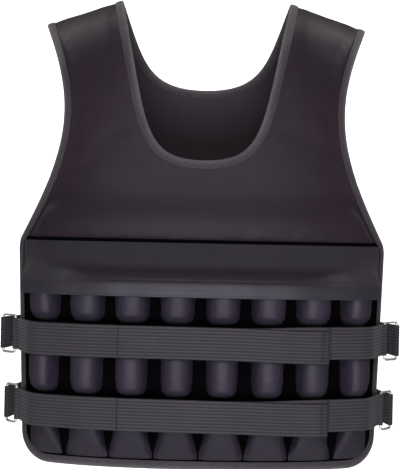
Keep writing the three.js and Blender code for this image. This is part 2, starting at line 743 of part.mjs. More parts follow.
const pockets = new THREE.Group();
vest.add(pockets);
for (const [rowName, row] of Object.entries(pocketRows)) {
  for (let column = 0; column < pocketColumns; column++) {
    add(`weight_pocket_${rowName}_${column + 1}`, pocketSolid(row, column), materials.pocket, pockets);
  }
}

const belts = new THREE.Group();
vest.add(belts);
for (const [beltName, level] of Object.entries(beltLevels)) {
  const plan = beltPlan(level, ringTurn[beltName]);
  const { frontBar, rearBar } = plan;
  add(`${beltName}_belt_long`, longBeltSolid(plan, level), materials.belt, belts);
  add(`${beltName}_belt_short`, shortBeltSolid(plan, level), materials.belt, belts);
  add(`${beltName}_belt_rear`, rearBeltSolid(plan, level), materials.belt, belts);
  add(`${beltName}_ring_right`, ringSolid(frontBar, rearBar, level), materials.ring, belts);
  const [leftFront, leftRear] = mirrored([frontBar, rearBar]);
  add(`${beltName}_ring_left`, ringSolid(leftFront, leftRear, level), materials.ring, belts);
}

export default vest;
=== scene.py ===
# Looks for a weighted training vest: padded cloth panels, filled weight pockets, a flap, tape bindings,
# ribbed elastic belts and wire rings. The form is worked out in millimetres and made in metres.
import math

import bpy
import numpy as np
from mathutils import Matrix, Vector, noise


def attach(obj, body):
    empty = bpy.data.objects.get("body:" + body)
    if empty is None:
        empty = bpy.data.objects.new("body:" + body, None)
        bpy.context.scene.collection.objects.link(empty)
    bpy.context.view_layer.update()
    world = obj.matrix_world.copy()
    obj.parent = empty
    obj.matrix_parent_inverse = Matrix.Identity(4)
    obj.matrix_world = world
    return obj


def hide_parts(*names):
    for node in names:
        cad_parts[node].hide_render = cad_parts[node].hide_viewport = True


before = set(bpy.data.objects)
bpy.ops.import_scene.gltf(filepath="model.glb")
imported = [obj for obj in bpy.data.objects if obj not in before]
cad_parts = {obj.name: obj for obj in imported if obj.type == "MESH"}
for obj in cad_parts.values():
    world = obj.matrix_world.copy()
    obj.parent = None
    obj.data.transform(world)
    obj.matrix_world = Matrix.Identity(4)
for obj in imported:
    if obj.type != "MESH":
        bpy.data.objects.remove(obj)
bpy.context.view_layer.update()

# The cut of the cloth and the body that it follows, as in the part's source.
vest = {
    "hemDrop": 580, "hemHalf": 224, "hemCorner": 36, "armholeDrop": 304, "armholeHalf": 175, "sideHalf": 234,
    "shoulderHalf": 209, "shoulderFall": 33, "neckHalf": 112, "frontNeckDrop": 201, "backNeckDrop": 90,
    "frontDepth": 118, "backDepth": 105, "sideRoom": 14, "archDrop": 224, "planPower": 2.4, "archPower": 2.2,
    "panelWall": 4, "tapeWall": 1.2, "tapeWidth": 9, "beltWall": 1.8, "sewnGap": 0.5, "seamGap": 0.3,
    "flapDrop": 301, "flapHeight": 67, "blockHalf": 214,
}
hemDrop, hemHalf, hemCorner, sideHalf = (vest[key] for key in ("hemDrop", "hemHalf", "hemCorner", "sideHalf"))
shoulderHalf, shoulderFall, neckHalf = (vest[key] for key in ("shoulderHalf", "shoulderFall", "neckHalf"))
armholeDrop, archDrop = vest["armholeDrop"], vest["archDrop"]
flapDrop, flapHeight = vest["flapDrop"], vest["flapHeight"]
wall, tapeWall, tapeWidth = (vest[key] for key in ("panelWall", "tapeWall", "tapeWidth"))
beltWall, sewnGap, seamGap = (vest[key] for key in ("beltWall", "sewnGap", "seamGap"))
torsoHalf = sideHalf + vest["sideRoom"]
archLength = (archDrop + shoulderFall / 2) * 1.15
front = {"sign": -1, "depth": vest["frontDepth"]}
back = {"sign": 1, "depth": vest["backDepth"]}
join = np.concatenate


def smooth(value, low, high):
    t = np.clip((value - low) / (high - low), 0, 1)
    return t * t * (3 - 2 * t)


def unit(vectors):
    return vectors / np.maximum(np.linalg.norm(vectors, axis=-1, keepdims=True), 1e-9)


def runAlong(points):
    return join([[0], np.cumsum(np.linalg.norm(np.diff(points, axis=0), axis=1))])


def pointAt(at, run, line):
    return np.array([np.interp(at, run, line[:, 0]), np.interp(at, run, line[:, 1])])


# A curve through given points at even steps, softened by a running mean.
def softTable(at, values, steps):
    table = np.interp(np.linspace(0, 1, steps), at, values)
    return np.convolve(np.pad(table, 6, "edge"), np.ones(13) / 13, "valid")


def shoulderLine(x):
    slope = shoulderFall / (shoulderHalf - neckHalf)
    return slope * ((shoulderHalf + neckHalf) / 2 - np.hypot(x, neckHalf / 4))


# Distance along the body's profile of a point seen from the front at x, z: 0 where the shoulder arch starts.
def profileAt(x, z):
    share = (z + archDrop) / (shoulderLine(x) + archDrop)
    arched = archLength * np.arcsin(np.clip(share, 0, 1) ** (vest["archPower"] / 2)) / (math.pi / 2)
    return np.where(share <= 0, z + archDrop, arched)


def formPoint(side, x, s):
    x, s = np.broadcast_arrays(np.asarray(x, float), np.asarray(s, float))
    across = np.minimum(np.abs(x) / torsoHalf, 0.9999)
    depth = side["depth"] * (1 - across ** vest["planPower"]) ** (1 / vest["planPower"])
    angle = np.clip(s / archLength, 0, 1) * math.pi / 2
    power = 2 / vest["archPower"]
    y = side["sign"] * depth * np.maximum(np.cos(angle), 0) ** power
    z = np.where(s <= 0, s - archDrop, (shoulderLine(x) + archDrop) * np.sin(angle) ** power - archDrop)
    return np.stack([x, y, z], -1)


def formFrame(side, x, s):
    step = 0.5
    along = np.minimum(np.asarray(s, float), archLength - step)
    dx = (formPoint(side, x + step, along) - formPoint(side, x - step, along)) / (2 * step)
    ds = (formPoint(side, x, along + step) - formPoint(side, x, along - step)) / (2 * step)
    out = unit(np.cross(dx, ds) * -side["sign"])
    atSeam = np.broadcast_to(np.asarray(s) >= archLength - 1e-6, out.shape[:-1])[..., None]
    return dx, ds, unit(np.where(atSeam, out * [1, 0, 1], out))


def skin(side, x, s, lift=0.0):
    point = formPoint(side, x, s) + formFrame(side, x, s)[2] * np.asarray(lift, float)[..., None]
    point[..., 1] += side["sign"] * seamGap / 2
    return point


# Arc length across the front's plan, both ways.
planX = np.linspace(0, torsoHalf, 401)
planArc = runAlong(formPoint(front, planX, 0.0))


def arcAt(x):
    return np.sign(x) * np.interp(np.abs(x), planX, planArc)


def acrossAt(arc):
    return np.sign(arc) * np.interp(np.abs(arc), planArc, planX)


def bezier(points):
    t = np.linspace(0, 1, 600)[:, None]
    a, b, c, d = [np.array(p, float) for p in points]
    return a * (1 - t) ** 3 + 3 * b * t * (1 - t) ** 2 + 3 * c * t * t * (1 - t) + d * t**3


armholeRise = armholeDrop - shoulderFall / 2
armhole = bezier([
    (sideHalf, -armholeDrop),
    (vest["armholeHalf"] * 0.93, -armholeDrop + armholeRise * 0.42),
    (vest["armholeHalf"] * 0.91, -shoulderFall / 2 - armholeRise * 0.38),
    (shoulderHalf, shoulderLine(shoulderHalf)),
])


def neckline(drop, flat, lean, side):
    top = shoulderLine(neckHalf)
    shoulder = (neckHalf * lean, top - (top + drop) * side)
    return bezier([(0, -drop), (neckHalf * flat, -drop), shoulder, (neckHalf, top)])


# Evenly spaced points of an edge line, given in the form's x and s.
def spaced(x, s, count):
    run = runAlong(np.column_stack([x, s]))
    return pointAt(np.linspace(0, run[-1], count), run, np.column_stack([x, s]))


def edgeAt(z):
    cornerTop = -hemDrop + hemCorner
    down = np.clip(cornerTop - z, 0, hemCorner)
    rounded = hemHalf - hemCorner + np.sqrt(hemCorner**2 - down**2)
    straight = hemHalf + (sideHalf - hemHalf) * (z - cornerTop) / (-armholeDrop - cornerTop)
    curved = np.interp(z, armhole[:, 1], armhole[:, 0])
    return np.where(z < cornerTop, rounded, np.where(z <= -armholeDrop, straight, curved))


# Soft unevenness of cloth, in millimetres, from three sizes of noise. Stretch lengthens it across or along.
def unevenness(points, size, seed, stretch=(1, 1, 1)):
    out = np.zeros(len(points))
    for octave, weight in ((1, 1), (2.3, 0.4), (5.1, 0.16)):
        for i, p in enumerate(points):
            q = Vector((p[0] * stretch[0], p[1] * stretch[1], p[2] * stretch[2])) * (octave / size)
            out[i] += weight * noise.noise(q + Vector((seed * 7.3, seed * 3.1, seed * 5.7)))
    return out


# Meshes.
def linked(name, data):
    made = bpy.data.objects.new(name, data)
    bpy.context.scene.collection.objects.link(made)
    return made


def newMesh(name, points, faces, uv=None, values=None):
    mesh = bpy.data.meshes.new(name)
    mesh.from_pydata((np.asarray(points) * 0.001).tolist(), [], [list(map(int, f)) for f in faces])
    corners = np.zeros(len(mesh.loops), int)
    mesh.loops.foreach_get("vertex_index", corners)
    if uv is not None:
        layer = mesh.uv_layers.new(name="cloth")
        layer.data.foreach_set("uv", (np.asarray(uv)[corners] * 0.001).ravel())
    for label, data in (values or {}).items():
        mesh.attributes.new(label, "FLOAT", "POINT").data.foreach_set("value", np.asarray(data, np.float32))
    mesh.polygons.foreach_set("use_smooth", np.ones(len(mesh.polygons), bool))
    mesh.validate()
    return linked(name, mesh)


# A wall of cloth from a net of faces: its outer and inner side, joined round every free edge.
def clothWall(name, outer, inner, net, uv, values):
    count = len(outer)
    faces = [tuple(face) for face in net] + [tuple(count + i for i in reversed(face)) for face in net]
    edges = {(p, q): True for face in net for p, q in zip(face, face[1:] + face[:1])}
    faces += [(q, p, count + p, count + q) for p, q in edges if (q, p) not in edges]
    points = join([outer, inner])
    spread = {label: join([data, data]) for label, data in values.items()}
    return newMesh(name, points, signed(points, faces), join([uv, uv]), spread)


# Faces turned so that the closed form that they make has a positive volume.
def signed(points, faces):
    volume = 0.0
    for face in faces:
        a = points[face[0]]
        for p, q in zip(face[1:-1], face[2:]):
            volume += np.dot(a, np.cross(points[p], points[q]))
    return faces if volume > 0 else [tuple(reversed(face)) for face in faces]


def gridNet(rows, columns):
    return [
        (i * columns + j, i * columns + j + 1, (i + 1) * columns + j + 1, (i + 1) * columns + j)
        for i in range(rows - 1) for j in range(columns - 1)
    ]


# Faces of a tube of rings with count points each. A closed tube's last ring meets its first.
def tubeNet(rings, count, closed=False):
    faces = []
    for i in range(rings if closed else rings - 1):
        here, there = i * count, (i + 1) % rings * count
        for j in range(count):
            k = (j + 1) % count
            faces.append((here + j, here + k, there + k, there + j))
    return faces


def evaluatedMesh(piece):
    bpy.context.view_layer.update()
    return bpy.data.meshes.new_from_object(piece.evaluated_get(bpy.context.evaluated_depsgraph_get()))


def subdivided(piece):
    modifier = piece.modifiers.new("smooth", "SUBSURF")
    modifier.levels = modifier.render_levels = 1
    old, made = piece.data, evaluatedMesh(piece)
    piece.modifiers.clear()
    piece.data = made
    bpy.data.meshes.remove(old)


def coordinates(mesh):
    flat = np.zeros(len(mesh.vertices) * 3)
    mesh.vertices.foreach_get("co", flat)
    return flat.reshape(-1, 3)


clothSettings = {
    "vertex_group_mass": "sewn", "quality": 5, "mass": 0.2, "tension_stiffness": 12, "shear_stiffness": 4,
    "compression_stiffness": 12, "bending_stiffness": 0.3, "use_pressure": True,
}


# Cloth simulation of filled or padded cloth: pressure from inside with no gravity, and no point moves further
# than its cap. Held is 1 where the cloth is sewn down and 0 where it is free.
def inflate(jobs, frames=20):
    started = {}
    for piece, held, given in jobs:
        started[piece.name] = coordinates(piece.data)
        group = piece.vertex_groups.new(name="sewn")
        for i, weight in enumerate(held):
            if weight > 0.01:
                group.add([i], float(min(weight, 1)), "REPLACE")
        cloth = piece.modifiers.new("cloth", "CLOTH")
        own = {"shrink_min": -given["slack"], "uniform_pressure_force": given["pressure"]}
        for key, value in (clothSettings | own).items():
            setattr(cloth.settings, key, value)
        cloth.settings.effector_weights.gravity = 0
        cloth.collision_settings.use_collision = False
        cloth.point_cache.frame_start = 1
        cloth.point_cache.frame_end = frames
    for step in range(1, frames + 1):
        bpy.context.scene.frame_set(step)
    deps = bpy.context.evaluated_depsgraph_get()
    for piece, held, given in jobs:
        moved = coordinates(piece.evaluated_get(deps).data) - started[piece.name]
        length = np.linalg.norm(moved, axis=1, keepdims=True)
        limit = given["cap"] * 0.001
        moved *= limit * np.tanh(length / limit) / np.maximum(length, 1e-9)
        piece.modifiers.clear()
        piece.vertex_groups.clear()
        piece.data.vertices.foreach_set("co", (started[piece.name] + moved).ravel())
        piece.data.update()
    bpy.context.scene.frame_set(1)


# Materials.
def feed(tree, node, inputs):
    for key, value in inputs.items():
        if hasattr(value, "is_output"):
            tree.links.new(value, node.inputs[key])
        else:
            node.inputs[key].default_value = value


def addNode(tree, kind, inputs=None, **settings):
    made = tree.nodes.new(kind)
    for key, value in settings.items():
        setattr(made, key, value)
    feed(tree, made, inputs or {})
    return made


def maths(tree, operation, *inputs):
    return addNode(tree, "ShaderNodeMath", dict(enumerate(inputs)), operation=operation).outputs[0]


def times(tree, a, b, plus=None):
    return maths(tree, "MULTIPLY", a, b) if plus is None else maths(tree, "MULTIPLY_ADD", a, b, plus)


def sine(tree, angle):
    return maths(tree, "SINE", angle)


def mapped(tree, value, low, high, toLow=0.0, toHigh=1.0):
    given = {"Value": value, "From Min": low, "From Max": high, "To Min": toLow, "To Max": toHigh}
    return addNode(tree, "ShaderNodeMapRange", given).outputs["Result"]


def noiseAt(tree, place, scale, detail):
    given = {"Vector": place, "Scale": scale, "Detail": detail}
    return addNode(tree, "ShaderNodeTexNoise", given).outputs["Fac"]


def blended(tree, factor, dark, light):
    given = {"Factor": factor, 6: dark, 7: light}
    return addNode(tree, "ShaderNodeMix", given, data_type="RGBA").outputs[2]


def grown(colour, by):
    return tuple(min(channel * by, 1.0) for channel in colour) + (1.0,)


def attribute(tree, name):
    return addNode(tree, "ShaderNodeAttribute", attribute_name=name).outputs["Fac"]


def clothAt(tree):
    return addNode(tree, "ShaderNodeUVMap", uv_map="cloth").outputs["UV"]


def placeAt(tree):
    return addNode(tree, "ShaderNodeTexCoord").outputs["Object"]


def scaled(tree, place, scale):
    return addNode(tree, "ShaderNodeVectorMath", {0: place, "Scale": scale}, operation="SCALE").outputs[0]


def axesOf(tree, place):
    return addNode(tree, "ShaderNodeSeparateXYZ", {0: place}).outputs


def bump(tree, height, strength, distance, under=None):
    given = {"Height": height, "Strength": strength, "Distance": distance}
    if under is not None:
        given["Normal"] = under
    return addNode(tree, "ShaderNodeBump", given).outputs["Normal"]


def newGroup(name, inputs, outputs, kind="ShaderNodeTree"):
    tree = bpy.data.node_groups.new(name, kind)
    for way, sockets in (("INPUT", inputs), ("OUTPUT", outputs)):
        for label, socket in sockets.items():
            tree.interface.new_socket(name=label, in_out=way, socket_type="NodeSocket" + socket)
    return tree, tree.nodes.new("NodeGroupInput").outputs, tree.nodes.new("NodeGroupOutput")


# Plain weave: threads that run over and under each other, with a little unevenness from thread to thread.
def weaveGroup():
    inputs, outputs = {"Cloth": "Vector", "Threads": "Float"}, {"Height": "Float", "Gap": "Float"}
    tree, given, result = newGroup("plainWeave", inputs, outputs)
    place = scaled(tree, given["Cloth"], given["Threads"])
    shift = times(tree, noiseAt(tree, place, 0.09, 2), 0.8)
    ways = [times(tree, maths(tree, "ADD", axis, shift), math.pi) for axis in axesOf(tree, place)[:2]]
    crossing = times(tree, *[sine(tree, way) for way in ways])
    quarter = math.pi / 2
    crowns = [maths(tree, "ABSOLUTE", sine(tree, maths(tree, "ADD", way, quarter))) for way in ways]
    height = times(tree, crossing, 0.5, times(tree, *crowns))
    feed(tree, result, {"Height": height, "Gap": mapped(tree, height, -0.3, 0.35, 1.0, 0.0)})
    return tree


# Broad unevenness of a cloth's tone: soft patches, finer mottling, and a fleck here and there.
def toneGroup():
    inputs, outputs = {"Place": "Vector", "Size": "Float"}, {"Patches": "Float", "Flecks": "Float"}
    tree, given, result = newGroup("clothTone", inputs, outputs)
    place = scaled(tree, given["Place"], given["Size"])
    patches = times(tree, noiseAt(tree, place, 9, 4), 0.35, times(tree, noiseAt(tree, place, 1, 3), 0.65))
    flecks = mapped(tree, noiseAt(tree, place, 90, 2), 0.68, 0.74)
    feed(tree, result, {"Patches": mapped(tree, patches, 0.35, 0.65), "Flecks": flecks})
    return tree


weave = weaveGroup()
tone = toneGroup()


def tonesAt(tree, place, size):
    made = addNode(tree, "ShaderNodeGroup", {"Place": place, "Size": size}, node_tree=tone)
    return made.outputs["Patches"], made.outputs["Flecks"]


def startMaterial(name):
    material = bpy.data.materials.new(name)
    material.use_nodes = True
    tree = material.node_tree
    return material, tree, tree.nodes["Principled BSDF"]


# Cloth and tape. Wear is an attribute from 0 to 1 that lightens rubbed edges and, on the edge tape, paints a
# highlight along its folded rim; dull is one that takes the shine off; ribs adds a coarser rib across.
def clothMaterial(name, look):
    material, tree, shader = startMaterial(name)
    base, cloth, place = look["colour"], clothAt(tree), placeAt(tree)
    threads = addNode(tree, "ShaderNodeGroup", {"Cloth": cloth, "Threads": look["threads"]}, node_tree=weave)
    height, gap = threads.outputs["Height"], threads.outputs["Gap"]
    patches, flecks = tonesAt(tree, place, look["patches"])
    colour = blended(tree, patches, grown(base, 1 - look["vary"]), grown(base, 1 + look["vary"]))
    colour = blended(tree, times(tree, gap, look["gap"]), colour, grown(base, 0.25))
    wearAndHighlightAmount = times(tree, attribute(tree, "wearAndHighlight"), times(tree, patches, 0.4, 0.6))
    colour = blended(tree, times(tree, wearAndHighlightAmount, look["wearAndHighlight"]), colour, grown(base, 2.6))
    colour = blended(tree, times(tree, flecks, 0.12), colour, grown(base, 2.4))
    rough = times(tree, gap, 0.1, times(tree, patches, -look["roughVary"], look["rough"]))
    rough = times(tree, attribute(tree, "dull"), 1 - look["rough"], rough)
    if look.get("ribs"):
        wave = sine(tree, times(tree, axesOf(tree, cloth)[0], look["ribs"] * 2 * math.pi))
        height = times(tree, wave, 1.4, height)
    fine = bump(tree, height, look["relief"], 0.0002)
    creased = bump(tree, noiseAt(tree, place, look["creases"], 5), look["crumple"], 0.002, fine)
    feed(tree, shader, {"Base Color": colour, "Roughness": rough, "Normal": creased, "Sheen Roughness": 0.4,
                        "Sheen Weight": look["sheen"], "Specular IOR Level": look["gloss"]})
    return material


# Ribbed elastic: the rib attribute is 1 on a rib's crest and 0 in the groove beside it. The colour is painted
# darker in the grooves as shade and lighter on the crests as light.
def elasticMaterial(name, base, rough, patches=25, vary=0.14, knit=750):
    material, tree, shader = startMaterial(name)
    cloth = clothAt(tree)
    mottling, flecks = tonesAt(tree, placeAt(tree), patches)
    wander = times(tree, noiseAt(tree, cloth, 900, 1), 2.0)
    loops = times(tree, sine(tree, times(tree, axesOf(tree, cloth)[0], knit * 2 * math.pi, wander)), 0.5, 0.5)
    crest = times(tree, loops, 0.25, times(tree, attribute(tree, "rib"), 0.75))
    crest = times(tree, mottling, vary, crest)
    # Painted shade in the grooves and painted light on the crests.
    colour = blended(tree, mapped(tree, crest, 0.1, 1.0), grown(base, 0.32), grown(base, 1.3))
    colour = blended(tree, times(tree, flecks, 0.2), colour, grown(base, 2.2))
    feed(tree, shader, {"Base Color": colour, "Roughness": times(tree, crest, -0.14, rough),
                        "Normal": bump(tree, crest, 0.6, 0.0003), "Sheen Weight": 0.06, "Sheen Roughness": 0.5,
                        "Specular IOR Level": 0.22})
    return material


# Plated wire: bright, with fine scratches round it and duller spots.
def wireMaterial():
    material, tree, shader = startMaterial("platedWire")
    place = placeAt(tree)
    spots = mapped(tree, noiseAt(tree, place, 160, 5), 0.42, 0.7)
    colour = blended(tree, spots, (0.97, 0.97, 0.96, 1), (0.82, 0.81, 0.79, 1))
    scratches = bump(tree, noiseAt(tree, place, 1500, 2), 0.25, 0.0001)
    feed(tree, shader, {"Base Color": colour, "Roughness": times(tree, spots, 0.1, 0.46), "Metallic": 1.0,
                        "Normal": scratches})
    return material


# Each look says only where it differs from the cloth that it is made from.
panelLook = {
    "threads": 1100, "patches": 7, "vary": 0.1, "gap": 0.5, "wearAndHighlight": 0.1, "rough": 0.47, "roughVary": 0.04,
    "sheen": 0.02, "gloss": 0.17, "relief": 0.4, "creases": 45, "crumple": 0.16,
}
pocketLook = panelLook | {
    "threads": 1200, "patches": 14, "vary": 0.12, "gap": 0.4, "roughVary": 0.05, "creases": 70,
    "crumple": 0.2,
}
looks = {
    "panelCloth": panelLook | {"colour": (0.0305, 0.0192, 0.026)},
    # Near-black cloth that paints the shade between the pockets and in the fold under the roll.
    "paintedShadeCloth": panelLook | {"colour": (0.0018, 0.0015, 0.002), "patches": 9, "vary": 0.3, "rough": 0.9,
                             "roughVary": 0.05, "sheen": 0.0, "gloss": 0.03, "relief": 0.5},
    "flapCloth": panelLook | {"colour": (0.0275, 0.0212, 0.0275), "rough": 0.42, "gloss": 0.48},
    "pocketCloth": pocketLook | {"colour": (0.033, 0.025, 0.037), "gloss": 0.33},
    # A darker copy of the pocket cloth for the bottom row: painted shade for pockets that face down.
    "lowPocketCloth": pocketLook | {"colour": (0.025, 0.0185, 0.0265), "rough": 0.5, "gloss": 0.24},
    # The edge tape's strong wear also paints a highlight along its rim.
    "edgeTape": panelLook | {"colour": (0.063, 0.0535, 0.056), "threads": 900, "patches": 20, "vary": 0.16,
                             "wearAndHighlight": 0.7, "rough": 0.66, "roughVary": 0.1, "sheen": 0.08, "gloss": 0.25,
                             "relief": 0.7, "creases": 120, "crumple": 0.2, "ribs": 500},
    "thread": panelLook | {"colour": (0.03, 0.028, 0.032), "threads": 2600, "patches": 60, "vary": 0.2,
                           "gap": 0.4, "wearAndHighlight": 0.0, "rough": 0.5, "roughVary": 0.1, "sheen": 0.1, "gloss": 0.4,
                           "creases": 400, "crumple": 0.1},
}
materials = {name: clothMaterial(name, look) for name, look in looks.items()}
materials["elastic"] = elasticMaterial("elastic", (0.0485, 0.0425, 0.0445), 0.78)
materials["webbing"] = elasticMaterial("webbing", (0.03, 0.026, 0.028), 0.82)
materials["wire"] = wireMaterial()
print("materials made")


def dressed(piece, material, slot, *nodes):
    piece.data.materials.clear()
    piece.data.materials.append(materials[material])
    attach(piece, "root")
    if nodes:
        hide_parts(*nodes)


# Stitches: one capsule for each step along a line, laid along it and sunk a little into the cloth.
def stitchGroup():
    inputs = {"Lines": "Geometry", "Pitch": "Float", "Length": "Float", "Thickness": "Float",
              "Uneven": "Float", "Seed": "Int", "Thread": "Material"}
    tree, given, result = newGroup("stitchRun", inputs, {"Stitches": "Geometry"}, "GeometryNodeTree")

    def made(kind, inputs=None, output=0, **settings):
        return addNode(tree, kind, inputs, **settings).outputs[output]

    curve = made("GeometryNodeMeshToCurve", {"Mesh": given["Lines"]})
    even = made("GeometryNodeResampleCurve", {"Curve": curve, "Length": given["Pitch"]}, mode="LENGTH")
    tangent = made("GeometryNodeInputTangent")
    turn = made("FunctionNodeAlignRotationToVector", {"Vector": tangent}, axis="Z")
    grow = made("FunctionNodeRandomValue", {"Seed": given["Seed"], 2: 0.0, 3: 1.0}, 1, data_type="FLOAT")
    share = maths(tree, "SUBTRACT", 1.0, times(tree, grow, given["Uneven"]))
    ball = made("GeometryNodeMeshUVSphere", {"Segments": 6, "Rings": 4, "Radius": 0.5}, "Mesh")
    long = times(tree, given["Length"], share)
    size = made("ShaderNodeCombineXYZ", {0: given["Thickness"], 1: given["Thickness"], 2: long})
    placed = made("GeometryNodeInstanceOnPoints",
                  {"Points": even, "Instance": ball, "Rotation": turn, "Scale": size})
    real = made("GeometryNodeRealizeInstances", {"Geometry": placed})
    coloured = made("GeometryNodeSetMaterial", {"Geometry": real, "Material": given["Thread"]})
    feed(tree, result, {"Stitches": coloured})
    return tree, {item.name: item.identifier for item in tree.interface.items_tree}


stitchTree, stitchSockets = stitchGroup()


def stitched(name, lines, slot, pitch=3.4, length=2.5, thickness=0.55, seed=1):
    points, edges = [], []
    for line in lines:
        start = len(points)
        points.extend(np.asarray(line).tolist())
        edges.extend((start + i, start + i + 1) for i in range(len(line) - 1))
    mesh = bpy.data.meshes.new(name + "_lines")
    mesh.from_pydata((np.array(points) * 0.001).tolist(), edges, [])
    run = linked(name + "_lines", mesh)
    modifier = run.modifiers.new("stitches", "NODES")
    modifier.node_group = stitchTree
    values = {"Pitch": pitch * 0.001, "Length": length * 0.001, "Thickness": thickness * 0.001,
              "Uneven": 0.25, "Seed": seed, "Thread": materials["thread"]}
    for label, value in values.items():
        modifier[stitchSockets[label]] = value
    made = evaluatedMesh(run)
    bpy.data.objects.remove(run)
    bpy.data.meshes.remove(mesh)
    made.name = name
    made.polygons.foreach_set("use_smooth", np.ones(len(made.polygons), bool))
    dressed(linked(name, made), "thread", slot)


# The padded panels. Pairs are the two ends of an effect's fading: distances from the edge, down from the
# shoulder seam for dull, and up from the flap's seam for the roll.
panels = {
    "columns": 36, "crowding": 1.15, "rowStep": 6.5, "fanRows": 40, "soft": 0.9, "softSize": 95, "cap": 1.5,
    "pressure": 3.0, "slack": 0.008, "calm": (6, 40), "padded": (8, 22), "pinched": (2, 9), "worn": (7, 26),
    "held": (8, 24), "dull": (110, 30), "rollHeight": 62, "rollDepth": 9.5, "rollSag": 4, "sagLow": (12, 34),
    "sagFull": (0.45, 0.95), "rollHeld": (1, 10),
}
rollRise = [0, 0.04, 0.1, 0.16, 0.3, 0.45, 0.62, 0.8, 1]
rollShare = [0, 0.45, 0.7, 0.84, 0.97, 1, 0.72, 0.3, 0]
rollTable = softTable(rollRise, rollShare, 201)


def rollSwell(x, z):
    rise = (z + flapDrop) / panels["rollHeight"]
    share = np.interp(rise, np.linspace(0, 1, 201), rollTable) * (rise > -0.001) * (rise < 1)
    return panels["rollDepth"] * share * smooth(edgeAt(z) - tapeWidth - np.abs(x), 0, tapeWidth * 1.5)


# A panel's net in the form's x and s: rows from the hem up to the neck, then rows that fan round the neck.
def panelNet(side, neck, lowLevels):
    fan = panels["fanRows"]
    start = neck[0, 1] - 3 * tapeWidth
    curved = armhole[armhole[:, 1] >= start]
    curved = join([[[np.interp(start, armhole[:, 1], armhole[:, 0]), start]], curved])
    outerX, outerS = spaced(curved[:, 0], profileAt(curved[:, 0], curved[:, 1]), fan)
    neckX, neckS = spaced(neck[:, 0], profileAt(neck[:, 0], neck[:, 1]), fan)
    levels = lowLevels[lowLevels < start - 3]
    edges = edgeAt(levels)
    outerX, outerS = join([edges, outerX]), join([profileAt(edges, levels), outerS])
    innerX, innerS = join([np.zeros(len(levels)), neckX]), join([profileAt(0.0, levels), neckS])
    turn = panels["crowding"]
    share = np.sin(np.linspace(0, turn, panels["columns"] + 1)) / math.sin(turn)
    x = innerX[:, None] + (outerX - innerX)[:, None] * share
    s = innerS[:, None] + (outerS - innerS)[:, None] * share
    rows, columns = x.shape
    left = np.arange(rows * columns).reshape(rows, columns) + rows * columns
    left[:len(levels) + 1, 0] -= rows * columns  # below the neck both halves share their middle points
    net = []
    for a, b, c, d in gridNet(rows, columns):
        net += [(a, b, c, d), tuple(int(left.flat[k]) for k in (b, a, d, c))]
    allX, allS = join([x.ravel(), -x.ravel()]), join([s.ravel(), s.ravel()])
    used = sorted({k for face in net for k in face})
    renumber = {k: i for i, k in enumerate(used)}
    net = [tuple(renumber[k] for k in face) for face in net]
    fromOuter = np.hypot(x - outerX[:, None], s - outerS[:, None])
    fromNeck = np.hypot(neckX - x[..., None], neckS - s[..., None]).min(-1)
    fromNeck[s <= neckS[0] - 60] = 1e9
    edge = np.minimum(np.minimum(fromOuter, s - s[0, 0]), np.minimum(fromNeck, archLength - s)).ravel()
    outline = {"edge": (outerX, outerS), "neck": (neckX, neckS)}
    return allX[used], allS[used], net, join([edge, edge])[used], outline


cornerLevels = -hemDrop + hemCorner * (1 - np.cos(np.radians(np.linspace(0, 90, 11))))
rollLevels = [0, 0.015, 0.03, 0.06, 0.1, 0.15, 0.2, 0.28, 0.36, 0.44, 0.52, 0.6, 0.7, 0.8, 0.9, 1]
frontLevels = join([
    cornerLevels, np.arange(cornerLevels[-1] + 6, -flapDrop - 3, panels["rowStep"]),
    -flapDrop + np.array(rollLevels) * panels["rollHeight"],
])
backLevels = join([cornerLevels, np.arange(cornerLevels[-1] + 6, -100, panels["rowStep"])])
# Where the shade is painted on the front panel, in millimetres from the flap's seam.
paintedShadeBand = {"below": 34, "foldLow": 6, "foldHigh": 3.5}  # from the seam of the flap


# Painted shade: the front of the panel under the pockets, from below the flap down to the hem, and the fold
# under the roll get a near-black, dull cloth that stands in for the shade between the pockets and in the
# crease.
def paintShade(piece):
    piece.data.materials.append(materials["paintedShadeCloth"])
    for face in piece.data.polygons:
        above = face.center.z * 1000 + flapDrop
        inPaintedShade = above < -paintedShadeBand["below"] or -paintedShadeBand["foldLow"] < above < paintedShadeBand["foldHigh"]
        if face.normal.y < -0.05 and inPaintedShade:
            face.material_index = 1


def makePanel(name, side, neck, levels, seed):
    x, s, net, edge, outline = panelNet(side, neck, levels)
    bare = formPoint(side, x, s)
    z = bare[:, 2]
    soft = unevenness(bare, panels["softSize"], seed, (0.7, 0.7, 1.2)) * panels["soft"]
    soft *= smooth(edge, *panels["calm"])
    swell = rollSwell(x, z) if side is front else np.zeros(len(x))
    full = smooth(edge, *panels["padded"])
    padding = 0.5 * full - 0.15 * (1 - smooth(edge, *panels["pinched"]))
    outer = skin(side, x, s, swell + padding + np.maximum(soft, -0.6))
    low = 1 - smooth(z + flapDrop, *panels["sagLow"])
    outer[:, 2] -= panels["rollSag"] * smooth(swell / panels["rollDepth"], *panels["sagFull"]) * low
    inner = skin(side, x, s, -wall - 0.3 * full + 0.4 * soft)
    far, near = panels["dull"]
    values = {"wearAndHighlight": 1 - smooth(edge, *panels["worn"]),
              "dull": smooth(s, archLength - far, archLength - near)}
    piece = clothWall(name, outer, inner, net, np.column_stack([arcAt(x), s]), values)
    held = 1 - smooth(edge, *panels["held"])
    if side is front:
        held = np.maximum(held, 1 - smooth(z + flapDrop, *panels["rollHeld"]))
    return piece, join([held, np.ones(len(held))]), outline


frontNeck = neckline(vest["frontNeckDrop"], 0.74, 0.64, 0.78)
backNeck = neckline(vest["backNeckDrop"], 0.71, 0.79, 0.65)
frontPanel, frontHeld, frontOutline = makePanel("front_padding", front, frontNeck, frontLevels, 1)
backPanel, backHeld, backOutline = makePanel("back_padding", back, backNeck, backLevels, 2)
print("panels made")

